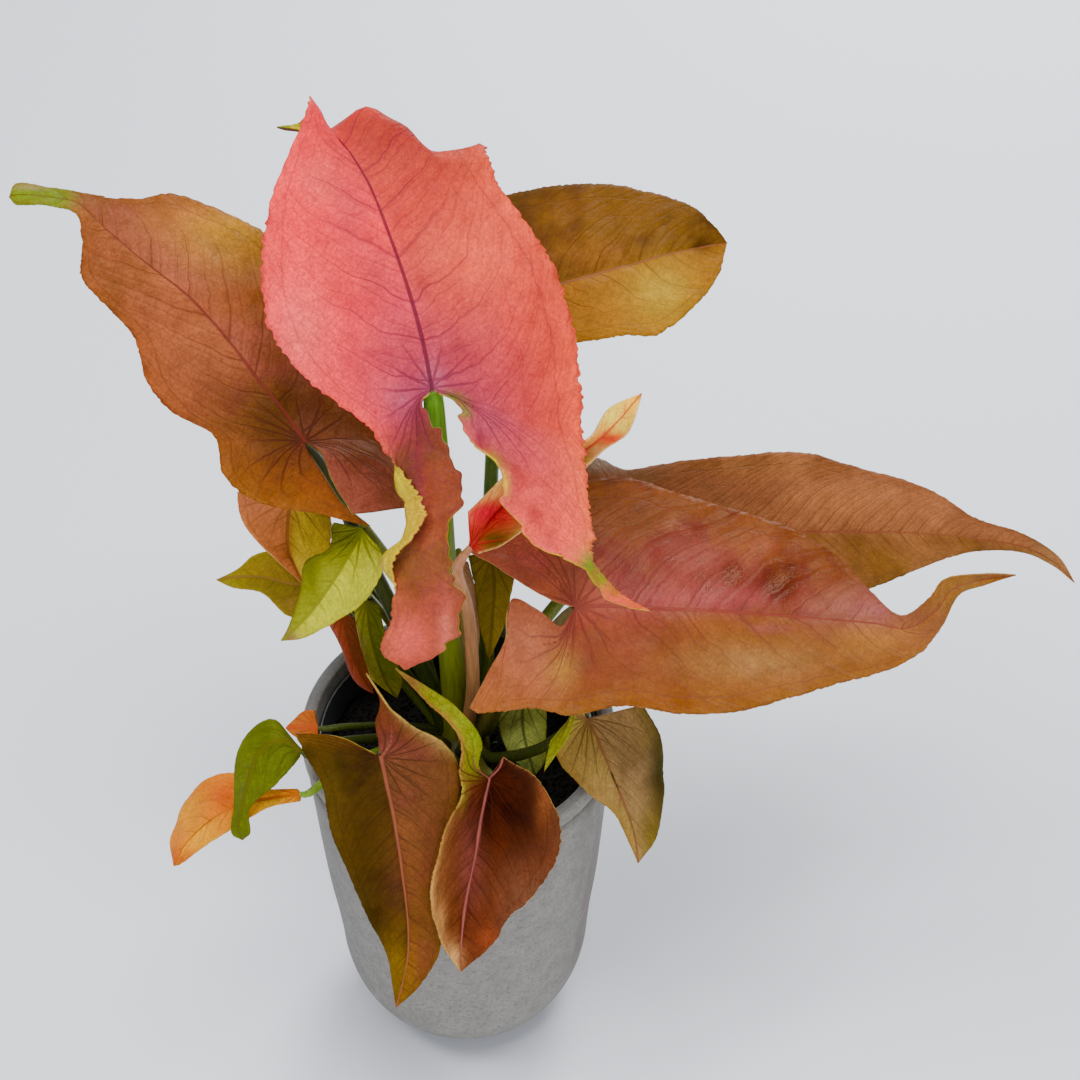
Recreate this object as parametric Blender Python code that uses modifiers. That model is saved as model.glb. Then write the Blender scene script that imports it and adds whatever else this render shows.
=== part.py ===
"""Arrowhead plant (Syngonium) in its pot.

A light grey pot holds a thin nursery pot with dark soil. A short cluster of stems stands in a
plain hole in the soil and carries every leaf stalk. Each blade is a thin solid of its own.

Lengths in the tables are millimetres, +Z is up and the origin is the centre of the pot's base.
The front of the plant faces -Y.

The blades were laid out on a square view of 1080 by 1080 picks, as they are seen from the point
EYE in front of the plant and above it. A pick is (x, y, lift): x and y are its place in that
view, and lift is how far it stands above the blade's own leaning plane.
"""
import math

import bmesh
import bpy
from mathutils import Vector

MM = 0.001

# The pot
POT_HEIGHT = 130.0
POT_TOP_RADIUS = 47.5
POT_SHOULDER = (43.8, 72.0)
POT_WAIST = (41.7, 50.0)
POT_HEEL_TOP = (40.5, 35.0)
POT_FOOT_RADIUS = 20.0
POT_WALL = 4.0
POT_FLOOR = 9.0
POT_FLOOR_RADIUS = 28.5
LIP_ROUND = 2.0
LIP_HEIGHT = 5.0
LIP_STEP = 0.6
TURN_STEPS = 40
LIP_STEPS = 8
HEEL_STEPS = 9
MERGE = 0.00001

# The nursery pot and the soil in it
GAP = 0.3
NURSERY_WALL = 0.9
NURSERY_TOP = 124.5
NURSERY_TOP_RADIUS = 42.6
NURSERY_FOOT_RADIUS = 28.0
NURSERY_FOOT_CURVE = 3.0
SOIL_TOP = 117.0
SOIL_CROWN = 2.0
SOIL_BULGE = 0.3

# The stem cluster
CLUSTER_RADIUS = 9.5
CLUSTER_DEPTH = 26.0
CLUSTER_RISE = 8.0
DOME_SHARE = 0.6
DOME_STEPS = 4
STALK_SAMPLES = 8
STALK_GAP = 0.5
STALK_TURN = 3.0
STALK_TAPER = 0.6
FOOT_SINK = 4.0
FOOT_RISE = 6.0

# The blades
BLADE_THICKNESS = 0.8
RIB_ROWS = 3
RIB_STEPS = 1
SHORT_STEPS = 2
SHORT_BLADE = 6
RIB_FINENESS = 12
WELD = 0.02

# The view that the picks belong to
EYE = Vector((24.8, -453.3, 661.0))
VIEW_PITCH = math.radians(45.0)
VIEW_REACH = 2300.0
VIEW_MIDDLE = 540.0
AHEAD = Vector((0.0, math.cos(VIEW_PITCH), -math.sin(VIEW_PITCH)))
ASIDE = Vector((1.0, 0.0, 0.0))
ABOVE = Vector((0.0, math.sin(VIEW_PITCH), math.cos(VIEW_PITCH)))

# Each blade: the height of its junction with the stalk, and the slope and downhill bearing in
# degrees of its plane. The midrib runs from the junction to the tip. Left and right give the
# margin beside each midrib pick but the last. A lobe's ribs run from beside the junction to the
# lobe's tip, the edge at the sinus first.
BLADES = {
    "leaf_pink": dict(
        height=262, slope=48, downhill=-90,
        midrib=[
            (432, 388, 0), (423, 342, 1), (408, 288, 2), (388, 231, 2), (366, 178, 0),
            (336, 137, -5), (312, 132, -20), (277, 127, -27),
        ],
        left=[
            (367, 425, -2), (306, 378, -4), (268, 325, -5), (262, 262, -5), (272, 198, -4),
            (310, 101, -5), (300, 122, -22),
        ],
        right=[
            (583, 432, -9), (580, 365, -9), (567, 303, -8), (545, 250, -7), (501, 188, -6),
            ((368, 110, -6), (407, 130, -7), (436, 155, -6), (481, 144, -9)),
            ((380, 140, -24), (455, 168, -26)),
        ],
        left_lobe=[
            ((423, 405, 0), (386, 454, -3)), ((447, 445, 2), (402, 484, -1)),
            ((461, 492, 4), (407, 512, 1)), ((450, 530, 6), (404, 534, 3)),
            ((453, 566, 8), (384, 562, 2)), ((461, 607, 9), (393, 610, 3)),
            ((450, 645, 6), (382, 650, 0)), ((405, 670, 1),),
        ],
        right_lobe=[
            ((458, 405, 0), (585, 465, -9)), ((464, 435, 0), (588, 500, -9)),
            ((500, 468, 3), (592, 525, -8)), ((504, 505, 4), (593, 541, -6)),
            ((540, 549, 5), (591, 554, -2)), ((583, 567, 5), (598, 569, 2)),
            ((612, 601, 5), (622, 595, 3)), ((650, 611, 5),),
        ],
    ),
    "leaf_copper": dict(
        height=236, slope=34, downhill=-75,
        midrib=[
            (305, 441, 0), (282, 409, 1), (258, 379, 2), (226, 337, 3), (185, 293, 4),
            (145, 262, 4), (105, 228, 3), (77, 203, 1), (45, 197, 2), (20, 195, 3), (9, 197, 3),
        ],
        left=[
            (214, 436, -5), (172, 412, -5), (147, 382, -4), (134, 337, -3), (108, 308, -2),
            (82, 277, -2), (82, 237, -1), (75, 213, 2), (45, 205, 4), (18, 205, 5),
        ],
        right=[
            (398, 435, -9), (372, 370, -9), (340, 312, -8), (300, 264, -7), (254, 227, -5),
            (180, 196, -3), (128, 200, -1), (76, 192, -1), (46, 187, 0), (17, 184, 1),
        ],
        left_lobe=[
            ((311, 455, -1), (224, 475, -6)), ((324, 476, -3), (258, 502, -8)),
            ((342, 503, -5), (312, 512, -9)), ((370, 526, -8),),
        ],
        right_lobe=[
            ((321, 453, 1), (405, 468, -7)), ((332, 480, 1), (408, 492, -6)),
            ((353, 514, 0), (405, 508, -5)),
        ],
    ),
    "leaf_olive": dict(
        height=248, slope=18, downhill=-80,
        midrib=[
            (505, 300, 0), (560, 284, 1), (602, 272, 1), (642, 261, 0), (680, 251, -1),
            (706, 246, -3), (727, 243, -5),
        ],
        left=[
            (498, 198, 1), (548, 187, 2), (595, 184, 2), (640, 190, 1), (686, 204, 0),
            (713, 225, -1),
        ],
        right=[
            (540, 350, -2), (582, 342, -2), (622, 336, -2), (660, 333, -3), (700, 301, -4),
            (719, 272, -5),
        ],
        left_lobe=[
            ((494, 290, 0), (470, 215, 0)), ((470, 275, -2), (452, 240, -3)),
            ((440, 268, -6),),
        ],
        right_lobe=[
            ((500, 312, 0), (508, 352, -3)), ((488, 330, -3), (486, 356, -5)),
            ((465, 352, -7),),
        ],
    ),
    "leaf_rose": dict(
        height=197, slope=32, downhill=-82,
        midrib=[
            (575, 607, 0), (622, 606, 1), (672, 609, 1), (724, 611, 1), (776, 615, 0),
            (826, 619, 0), (872, 623, 0), (907, 628, 2), (935, 612, 7), (952, 590, 11),
            (985, 579, 13), (1016, 575, 12),
        ],
        left=[
            (575, 483, -3), (628, 478, -2), (682, 495, -1), (738, 511, 0), (790, 528, 0),
            (838, 557, 0), (868, 588, 1), (900, 615, 3), (928, 599, 9), (945, 579, 13),
            (985, 574, 15),
        ],
        right=[
            (572, 716, -3), (622, 706, -3), (682, 714, -4), (740, 711, -5), (790, 698, -5),
            (836, 684, -5), (880, 673, -4), (920, 653, -1), (941, 627, 4), (958, 595, 9),
            (985, 585, 12),
        ],
        left_lobe=[
            ((558, 602, 0), (535, 496, -5)), ((530, 588, 0), (505, 515, -6)),
            ((498, 568, -2), (484, 533, -7)), ((470, 552, -6),),
        ],
        right_lobe=[
            ((560, 626, 0), (550, 711, -3)), ((541, 612, 1), (530, 708, -3)),
            ((512, 599, 1), (506, 711, -4)), ((505, 640, 0), (489, 712, -4)),
            ((488, 672, -1), (478, 713, -3)), ((470, 708, -2),),
        ],
    ),
    "leaf_brown": dict(
        height=182, slope=24, downhill=-75,
        midrib=[
            (622, 535, 0), (680, 536, 0), (740, 534, 0), (800, 532, 0), (860, 532, 0),
            (920, 533, 0), (970, 538, -1), (1020, 546, -4), (1054, 562, -8), (1075, 583, -12),
        ],
        left=[
            (628, 469, 2), (688, 460, 2), (748, 455, 2), (803, 453, 1), (866, 470, 0),
            (926, 488, 0), (975, 518, -1), (1024, 534, -3), (1058, 556, -6),
        ],
        right=[
            (630, 600, -3), (692, 612, -4), (756, 610, -4), (816, 601, -4), (872, 588, -4),
            (926, 566, -3), (972, 552, -3), (1019, 552, -5), (1052, 565, -8),
        ],
        left_lobe=[
            ((612, 520, 0), (600, 459, 1)), ((598, 498, -1), (580, 463, -1)),
            ((566, 478, -4),),
        ],
        right_lobe=[
            ((612, 545, 0), (600, 590, -4)), ((592, 560, -2), (580, 585, -6)),
            ((560, 580, -8),),
        ],
    ),
    "leaf_hanging": dict(
        height=160, slope=62, downhill=-95,
        midrib=[
            (381, 757, 0), (388, 790, -2), (396, 830, -3), (402, 870, -3), (407, 910, -2),
            (408, 950, -1), (402, 985, 0), (396, 1008, 1),
        ],
        left=[
            (458, 766, -2), (460, 797, -3), (451, 830, -2), (438, 864, -1), (433, 902, 0),
            (441, 946, 0), (421, 984, 0),
        ],
        right=[
            (304, 753, -2), (322, 785, 0), (331, 832, 1), (347, 870, 1), (366, 914, 0),
            (386, 952, 0), (393, 988, 0),
        ],
        left_lobe=[
            ((378, 742, 0), (442, 741, 2)), ((376, 720, 0), (414, 727, 1)),
            ((380, 699, 0), (393, 711, 1)), ((366, 673, 0),),
        ],
        right_lobe=[
            ((362, 748, -1), (301, 745, -3)), ((338, 736, -2), (298, 740, -4)),
            ((296, 733, -5),),
        ],
    ),
    "leaf_cupped": dict(
        height=150, slope=58, downhill=-88,
        midrib=[
            (489, 778, 0), (482, 812, -2), (477, 845, -3), (470, 880, -3), (464, 915, -1),
            (461, 948, 1), (461, 972, 3),
        ],
        left=[
            (540, 781, 6), (560, 822, 9), (556, 860, 9), (533, 896, 8), (508, 918, 6),
            (493, 944, 4),
        ],
        right=[
            (462, 795, 8), (447, 828, 10), (437, 858, 10), (431, 888, 9), (433, 918, 7),
            (444, 948, 5),
        ],
        left_lobe=[
            ((497, 767, 2), (521, 769, 5)), ((503, 757, 3),),
        ],
        right_lobe=[
            ((479, 765, 4), (461, 768, 9)), ((482, 742, 5), (461, 742, 9)),
            ((466, 718, 4), (450, 723, 8)), ((440, 695, 1), (430, 705, 4)), ((395, 668, -3),),
        ],
    ),
    "leaf_folded": dict(
        height=150, slope=48, downhill=-60,
        midrib=[
            (588, 718, 0), (600, 745, 1), (612, 773, 1), (624, 803, 0), (634, 832, 0),
            (638, 863, -1),
        ],
        left=[
            (643, 705, -3), (660, 738, -5), (664, 774, -5), (661, 810, -4), (654, 840, -2),
        ],
        right=[
            (559, 762, -2), (575, 780, -2), (593, 797, -2), (614, 813, -2), (628, 841, -1),
        ],
        right_lobe=[
            ((578, 712, 3), (553, 738, 3)), ((566, 740, 7), (548, 750, 6)), ((544, 772, 7),),
        ],
    ),
    "leaf_orange": dict(
        height=134, slope=35, downhill=-150,
        midrib=[
            (301, 794, 0), (264, 799, 1), (235, 806, 3), (208, 822, 4), (184, 846, 3),
            (174, 866, 2),
        ],
        left=[
            (300, 801, 0), (268, 808, 0), (236, 827, 0), (208, 844, 0), (184, 862, 0),
        ],
        right=[
            (298, 789, 0), (262, 788, 1), (233, 773, 1), (197, 787, 0), (172, 836, 0),
        ],
    ),
    "leaf_lime": dict(
        height=147, slope=55, downhill=-110,
        midrib=[
            (302, 751, 0), (281, 740, 4), (260, 752, 5), (249, 778, 4), (243, 804, 2),
            (239, 825, 1), (243, 840, 1),
        ],
        left=[
            (299, 747, -2), (272, 720, 2), (246, 736, 3), (236, 765, 2), (234, 803, 1),
            (232, 832, 0),
        ],
        right=[
            (299, 757, -1), (290, 768, 1), (273, 787, 2), (260, 797, 2), (249, 811, 1),
            (250, 832, 2),
        ],
    ),
    "leaf_tab": dict(
        height=138, slope=45, downhill=-100,
        midrib=[
            (318, 728, 0), (305, 727, 1), (295, 727, 1), (286, 728, 0),
        ],
        left=[
            (315, 710, 0), (304, 711, 0), (294, 720, 0),
        ],
        right=[
            (318, 742, 0), (304, 740, 0), (294, 735, 0),
        ],
    ),
    "leaf_pale": dict(
        height=205, slope=50, downhill=-105,
        midrib=[
            (362, 528, 0), (346, 560, 1), (326, 592, 2), (312, 611, 1), (296, 628, 1),
            (281, 641, 0),
        ],
        left=[
            (377, 545, -2), (384, 566, -2), (366, 600, -1), (340, 619, 0), (306, 637, 0),
        ],
        right=[
            (333, 522, -2), (329, 549, -1), (306, 562, -1), (300, 592, -1), (290, 624, 0),
        ],
    ),
    "leaf_blush": dict(
        height=196, slope=55, downhill=-100,
        midrib=[
            (292, 492, 0), (288, 522, -3), (288, 548, -3), (295, 566, -1), (304, 585, 0),
        ],
        left=[
            (330, 505, -3), (331, 528, -3), (328, 550, -2), (309, 566, -1),
        ],
        right=[
            (237, 492, 2), (240, 515, 2), (252, 535, 2), (276, 560, 1),
        ],
    ),
    "leaf_pointed": dict(
        height=168, slope=30, downhill=-110,
        midrib=[
            (325, 588, 0), (290, 583, 0), (262, 577, 0), (238, 577, 0), (216, 580, -1),
        ],
        left=[
            (322, 622, -2), (288, 616, -1), (262, 593, 0), (234, 588, 0),
        ],
        right=[
            (322, 560, 0), (286, 551, 0), (256, 554, 0), (238, 569, 0),
        ],
    ),
    "leaf_strip": dict(
        height=168, slope=60, downhill=-90,
        midrib=[
            (343, 612, 0), (350, 645, 1), (360, 672, 1), (374, 694, 0),
        ],
        left=[
            (354, 618, 0), (360, 645, 0), (368, 672, 0),
        ],
        right=[
            (325, 617, 0), (341, 647, 0), (354, 680, 0),
        ],
    ),
    "leaf_sheath": dict(
        height=172, slope=70, downhill=-90,
        midrib=[
            (367, 600, 0), (370, 632, 1), (376, 655, 1), (385, 680, 1), (397, 698, 0),
        ],
        left=[
            (378, 604, -1), (385, 632, -1), (393, 655, -1), (402, 680, 0),
        ],
        right=[
            (354, 606, -1), (359, 640, -1), (364, 664, -1), (374, 680, 0),
        ],
    ),
    "leaf_narrow": dict(
        height=184, slope=78, downhill=-85,
        midrib=[
            (459, 558, 0), (467, 600, 0), (469, 645, 0), (471, 692, 0),
        ],
        left=[
            (468, 562, -1), (477, 600, -1), (479, 645, 0),
        ],
        right=[
            (451, 564, -1), (458, 603, -1), (459, 648, 0),
        ],
    ),
    "leaf_shaded": dict(
        height=186, slope=70, downhill=-90,
        midrib=[
            (492, 553, 0), (494, 590, 0), (492, 622, 0), (489, 660, 0),
        ],
        left=[
            (516, 565, -1), (512, 590, -1), (505, 622, -1),
        ],
        right=[
            (468, 556, -1), (476, 592, -1), (479, 622, -1),
        ],
    ),
    "leaf_grey": dict(
        height=143, slope=65, downhill=-90,
        midrib=[
            (522, 692, 0), (523, 728, 1), (529, 754, 1), (535, 775, 0),
        ],
        left=[
            (547, 698, -1), (546, 730, -1), (545, 760, -1),
        ],
        right=[
            (500, 700, -1), (500, 732, -1), (514, 760, -1),
        ],
    ),
    "leaf_young": dict(
        height=215, slope=45, downhill=-90,
        midrib=[
            (470, 548, 0), (503, 505, -3), (548, 472, -3), (592, 445, -2), (618, 421, -1),
            (642, 393, 0),
        ],
        left=[
            (468, 512, 3), (503, 478, 4), (548, 450, 3), (589, 438, 1), (608, 409, 1),
        ],
        right=[
            (478, 553, 3), (510, 540, 4), (555, 500, 3), (598, 455, 1), (629, 431, 1),
        ],
    ),
}

# Each stalk: where it leaves the stem cluster, the points it passes on its way to its blade,
# and its radius at the foot and at the blade.
STALKS = {
    "leaf_pink": dict(
        foot=(-0.5, 1), way=[(-0.8, 2, 138), (-2, 3, 180), (-2.6, 3, 229)], radii=(4.2, 2.7),
    ),
    "leaf_copper": dict(
        foot=(-4, 3), way=[(-8, 6, 139), (-22, 15, 174), (-34, 16, 215)], radii=(3.2, 1.7),
    ),
    "leaf_olive": dict(
        foot=(3, 5), way=[(8, 20, 145), (10, 38, 186), (12, 51, 222)], radii=(3, 1.7),
    ),
    "leaf_rose": dict(
        foot=(5, -1), way=[(9, -3, 135), (17.5, -6, 156), (29, -11, 183)], radii=(3.2, 1.8),
    ),
    "leaf_brown": dict(foot=(5, 3), way=[(12, 7, 138), (30, 18, 163)], radii=(2.8, 1.7)),
    "leaf_young": dict(
        foot=(2, -3), way=[(5, -4, 150), (4.5, -7, 185), (2, -11, 206)], radii=(2.4, 1.5), from_edge=True,
    ),
    "leaf_hanging": dict(foot=(-4, -4), way=[(-9, -14, 137), (-17, -29, 152)], radii=(2.4, 1.5)),
    "leaf_cupped": dict(foot=(1, -6), way=[(4, -14, 133), (8, -28, 142)], radii=(2.4, 1.5)),
    "leaf_folded": dict(foot=(5, -5), way=[(11, -12, 127), (25, -17, 138)], radii=(2.2, 1.4)),
    "leaf_orange": dict(
        foot=(-6, -2), way=[(-20, -11, 131), (-34, -24, 136)], radii=(1.8, 1.2), from_edge=True,
    ),
    "leaf_lime": dict(
        foot=(-6, 0), way=[(-18, -7, 131), (-34, -18, 142)], radii=(1.8, 1.2), from_edge=True,
    ),
    "leaf_tab": dict(
        foot=(-6, 2), way=[(-18, 0, 128), (-32, -7, 136)], radii=(1.5, 1), from_edge=True,
    ),
    "leaf_pale": dict(foot=(-3, 5), way=[(-8, 9, 140), (-14, 14, 172)], radii=(2, 1.4)),
    "leaf_blush": dict(foot=(-4, 5), way=[(-16, 20, 142), (-36, 36, 172)], radii=(2, 1.4)),
    "leaf_pointed": dict(
        foot=(-5, 4), way=[(-14, 11, 136), (-29, 17, 158)], radii=(1.8, 1.2), from_edge=True,
    ),
    "leaf_strip": dict(foot=(-6, 3), way=[(-16, 9, 136), (-28, 15, 153)], radii=(1.6, 1.1)),
    "leaf_sheath": dict(foot=(-4, 5), way=[(-12, 13, 140), (-22, 18, 158)], radii=(1.6, 1.1)),
    "leaf_narrow": dict(foot=(0, 6), way=[(-1, 15, 136), (0, 27, 158)], radii=(1.6, 1.1)),
    "leaf_shaded": dict(foot=(3, 4), way=[(9, 9, 141), (9.5, 17, 160)], radii=(1.8, 1.2)),
    "leaf_grey": dict(foot=(4, -2), way=[(11, 2, 126), (17, 6, 134)], radii=(1.6, 1.1)),
}

LEAF_ROUGHNESS = 0.4
ROUGHNESS = {"pot": 0.35, "inner_pot": 0.5, "soil": 0.95, "stems": 0.45}

COLOURS = {
    "pot": (0.56, 0.56, 0.58),
    "inner_pot": (0.30, 0.31, 0.33),
    "soil": (0.010, 0.009, 0.007),
    "stems": (0.13, 0.22, 0.03),
    "leaf_pink": (0.74, 0.20, 0.16),
    "leaf_copper": (0.36, 0.14, 0.06),
    "leaf_olive": (0.26, 0.17, 0.05),
    "leaf_rose": (0.36, 0.13, 0.08),
    "leaf_brown": (0.33, 0.15, 0.07),
    "leaf_young": (0.78, 0.36, 0.14),
    "leaf_hanging": (0.22, 0.11, 0.03),
    "leaf_cupped": (0.32, 0.11, 0.05),
    "leaf_folded": (0.24, 0.17, 0.09),
    "leaf_orange": (0.76, 0.37, 0.08),
    "leaf_lime": (0.24, 0.29, 0.02),
    "leaf_tab": (0.55, 0.16, 0.05),
    "leaf_pale": (0.42, 0.48, 0.12),
    "leaf_blush": (0.48, 0.22, 0.11),
    "leaf_pointed": (0.32, 0.28, 0.06),
    "leaf_strip": (0.42, 0.14, 0.07),
    "leaf_sheath": (0.25, 0.28, 0.02),
    "leaf_narrow": (0.40, 0.26, 0.15),
    "leaf_shaded": (0.19, 0.21, 0.03),
    "leaf_grey": (0.22, 0.28, 0.12),
}


def clear_scene():
    for item in list(bpy.data.objects):
        bpy.data.objects.remove(item, do_unlink=True)


def new_collection(name):
    collection = bpy.data.collections.new(name)
    bpy.context.scene.collection.children.link(collection)
    return collection


def make_material(name):
    shade = bpy.data.materials.new(name)
    shade.use_nodes = True
    shader = shade.node_tree.nodes["Principled BSDF"]
    shader.inputs["Base Color"].default_value = COLOURS[name] + (1.0,)
    shader.inputs["Roughness"].default_value = ROUGHNESS.get(name, LEAF_ROUGHNESS)
    return shade


def add_object(name, data, collection):
    piece = bpy.data.objects.new(name, data)
    collection.objects.link(piece)
    return piece


def arc(centre, radii, start, end, steps):
    """Points of a round corner in the profile plane, angles in degrees."""
    points = []
    for step in range(steps + 1):
        turn = math.radians(start + (end - start) * step / steps)
        points.append((centre[0] + radii[0] * math.cos(turn), centre[1] + radii[1] * math.sin(turn)))
    return points


def make_turned(name, profile, collection):
    """Turns a profile that goes up its inner side, down its outer side and ends on the axis."""
    mesh = bpy.data.meshes.new(name)
    points = [(x * MM, 0.0, z * MM) for x, z in profile]
    mesh.from_pydata(points, [(i, i + 1) for i in range(len(points) - 1)], [])
    piece = add_object(name, mesh, collection)
    mesh.materials.append(make_material(name))
    turn = piece.modifiers.new("turn", "SCREW")
    turn.steps = TURN_STEPS
    turn.render_steps = TURN_STEPS
    turn.use_merge_vertices = True
    turn.merge_threshold = MERGE
    return piece


def make_pot(collection):
    """The outer pot: a tapering wall, a rolled lip with a fine step under it, a rounded heel."""
    top = POT_HEIGHT - LIP_ROUND
    heel_width = POT_HEEL_TOP[0] - POT_FOOT_RADIUS
    inside = [
        (0.0, POT_FLOOR),
        (POT_FLOOR_RADIUS, POT_FLOOR),
        (POT_HEEL_TOP[0] - POT_WALL, POT_HEEL_TOP[1]),
        (POT_WAIST[0] - POT_WALL, POT_WAIST[1]),
        (POT_SHOULDER[0] - POT_WALL, POT_SHOULDER[1]),
    ]
    lip = arc((POT_TOP_RADIUS - LIP_ROUND, top), (LIP_ROUND, LIP_ROUND), 180, 0, LIP_STEPS)
    under_lip = [
        (POT_TOP_RADIUS, POT_HEIGHT - LIP_HEIGHT),
        (POT_TOP_RADIUS - LIP_STEP, POT_HEIGHT - LIP_HEIGHT - LIP_STEP),
    ]
    heel = arc((POT_FOOT_RADIUS, POT_HEEL_TOP[1]), (heel_width, POT_HEEL_TOP[1]), 0, -90, HEEL_STEPS)
    profile = inside + lip + under_lip + [POT_SHOULDER, POT_WAIST] + heel + [(0.0, 0.0)]
    return make_turned("pot", profile, collection)


def nursery_radius(height):
    """Outer radius of the nursery pot at a height."""
    share = (height - POT_FLOOR) / (NURSERY_TOP - POT_FLOOR)
    return NURSERY_FOOT_RADIUS + (NURSERY_TOP_RADIUS - NURSERY_FOOT_RADIUS) * share


def make_inner_pot(collection):
    """The thin nursery pot that stands on the pot's floor."""
    base = POT_FLOOR + GAP
    floor = base + NURSERY_WALL
    heel = base + NURSERY_FOOT_CURVE
    profile = [
        (0.0, floor),
        (nursery_radius(heel) - NURSERY_FOOT_CURVE, floor),
        (nursery_radius(heel) - NURSERY_WALL, heel),
        (NURSERY_TOP_RADIUS - NURSERY_WALL, NURSERY_TOP),
        (NURSERY_TOP_RADIUS, NURSERY_TOP),
        (nursery_radius(heel), heel),
        (nursery_radius(heel) - NURSERY_FOOT_CURVE, base),
        (0.0, base),
    ]
    return make_turned("inner_pot", profile, collection)


def make_soil(collection):
    """The soil: fills the nursery pot, a little higher in the middle, with the cluster's hole."""
    inset = NURSERY_WALL + GAP
    floor = POT_FLOOR + GAP + NURSERY_WALL + GAP
    heel = POT_FLOOR + GAP + NURSERY_FOOT_CURVE + GAP
    hole = CLUSTER_RADIUS + GAP
    edge = SOIL_TOP - SOIL_CROWN
    rim = nursery_radius(edge) - inset
    profile = [
        (0.0, SOIL_TOP - CLUSTER_DEPTH),
        (hole, SOIL_TOP - CLUSTER_DEPTH),
        (hole, SOIL_TOP),
        ((hole + rim) / 2.0, SOIL_TOP - SOIL_CROWN * SOIL_BULGE),
        (rim, edge),
        (nursery_radius(heel) - inset, heel),
        (nursery_radius(heel) - inset - NURSERY_FOOT_CURVE, floor),
        (0.0, floor),
    ]
    return make_turned("soil", profile, collection)


def view_ray(x, y):
    return AHEAD * VIEW_REACH + ASIDE * (x - VIEW_MIDDLE) + ABOVE * (VIEW_MIDDLE - y)


def pick_at_height(x, y, height):
    ray = view_ray(x, y)
    return EYE + ray * ((height - EYE.z) / ray.z)


def blade_normal(blade):
    slope = math.radians(blade["slope"])
    downhill = math.radians(blade["downhill"])
    across = math.sin(slope)
    return Vector((across * math.cos(downhill), across * math.sin(downhill), math.cos(slope)))


def place_pick(blade, pick):
    """The point of a pick, on the blade's plane raised by the pick's lift."""
    normal = blade_normal(blade)
    start = blade["midrib"][0]
    base = pick_at_height(start[0], start[1], blade["height"]) + normal * pick[2]
    ray = view_ray(pick[0], pick[1])
    return EYE + ray * ((base - EYE).dot(normal) / ray.dot(normal))


def along(points, place):
    """A point of the smooth line through the points, place counted in spans."""
    if len(points) == 1:
        return points[0]
    span = min(int(place), len(points) - 2)
    u = place - span
    near, far = points[span], points[span + 1]
    before = points[span - 1] if span > 0 else near * 2.0 - far
    after = points[span + 2] if span + 2 < len(points) else far * 2.0 - near
    bend = (before * 2.0 - near * 5.0 + far * 4.0 - after) * (u * u)
    twist = (near * 3.0 - before - far * 3.0 + after) * (u ** 3)
    return (near * 2.0 + (far - before) * u + bend + twist) * 0.5


def even_rib(points, rows):
    """Splits the smooth line through a rib's points into rows of even length."""
    if len(points) == 1:
        return [points[0]] * (rows + 1)
    count = RIB_FINENESS * (len(points) - 1)
    fine = [along(points, step / RIB_FINENESS) for step in range(count + 1)]
    run = [0.0]
    for near, far in zip(fine, fine[1:]):
        run.append(run[-1] + (far - near).length)
    rib = []
    for row in range(rows + 1):
        goal = run[-1] * row / rows
        step = max(i for i in range(count) if run[i] <= goal + 1e-9)
        share = (goal - run[step]) / max(run[step + 1] - run[step], 1e-9)
        rib.append(fine[step].lerp(fine[step + 1], share))
    return rib


def skin(ribs, steps):
    """Smooth columns of points through the ribs."""
    columns = []
    for step in range((len(ribs) - 1) * steps + 1):
        columns.append([along(list(row), step / steps) for row in zip(*ribs)])
    return columns


def blade_patches(blade):
    """The blade's two halves and its lobes as columns of points, each with its winding."""
    patches = []
    steps = SHORT_STEPS if len(blade["midrib"]) < SHORT_BLADE else RIB_STEPS
    for side, turned in (("left", False), ("right", True)):
        ribs = []
        for stem_pick, margin in zip(blade["midrib"], blade[side] + [()]):
            picks = margin if margin and isinstance(margin[0], tuple) else (margin,)
            picks = (stem_pick,) + tuple(pick for pick in picks if pick)
            ribs.append(even_rib([place_pick(blade, pick) for pick in picks], RIB_ROWS))
        patches.append((skin(ribs, steps), turned))
        lobe = blade.get(side + "_lobe")
        if lobe:
            lobe_ribs = [even_rib([place_pick(blade, pick) for pick in rib], RIB_ROWS) for rib in lobe]
            patches.append((skin(ribs[:1] + lobe_ribs, steps), not turned))
    return patches


def blade_mesh(name, blade):
    """One sheet of triangles for the blade, its patches joined along the midrib."""
    sheet = bmesh.new()
    for columns, turned in blade_patches(blade):
        grid = [[sheet.verts.new(point * MM) for point in column] for column in columns]
        for here, there in zip(grid, grid[1:]):
            for row in range(len(here) - 1):
                a, b, c, d = here[row], here[row + 1], there[row + 1], there[row]
                if (a.co - c.co).length <= (b.co - d.co).length:
                    corners = ((a, b, c), (a, c, d))
                else:
                    corners = ((a, b, d), (b, c, d))
                for triangle in corners:
                    sheet.faces.new(triangle[::-1] if turned else triangle)
    bmesh.ops.remove_doubles(sheet, verts=sheet.verts, dist=WELD * MM)
    mesh = bpy.data.meshes.new(name)
    sheet.to_mesh(mesh)
    sheet.free()
    return mesh


def make_blade(name, blade, collection):
    mesh = blade_mesh(name, blade)
    mesh.materials.append(make_material(name))
    piece = add_object(name, mesh, collection)
    thick = piece.modifiers.new("thickness", "SOLIDIFY")
    thick.thickness = BLADE_THICKNESS * MM
    thick.offset = 0.0
    split = piece.modifiers.new("triangles", "TRIANGULATE")
    split.min_vertices = 4
    return piece


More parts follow.
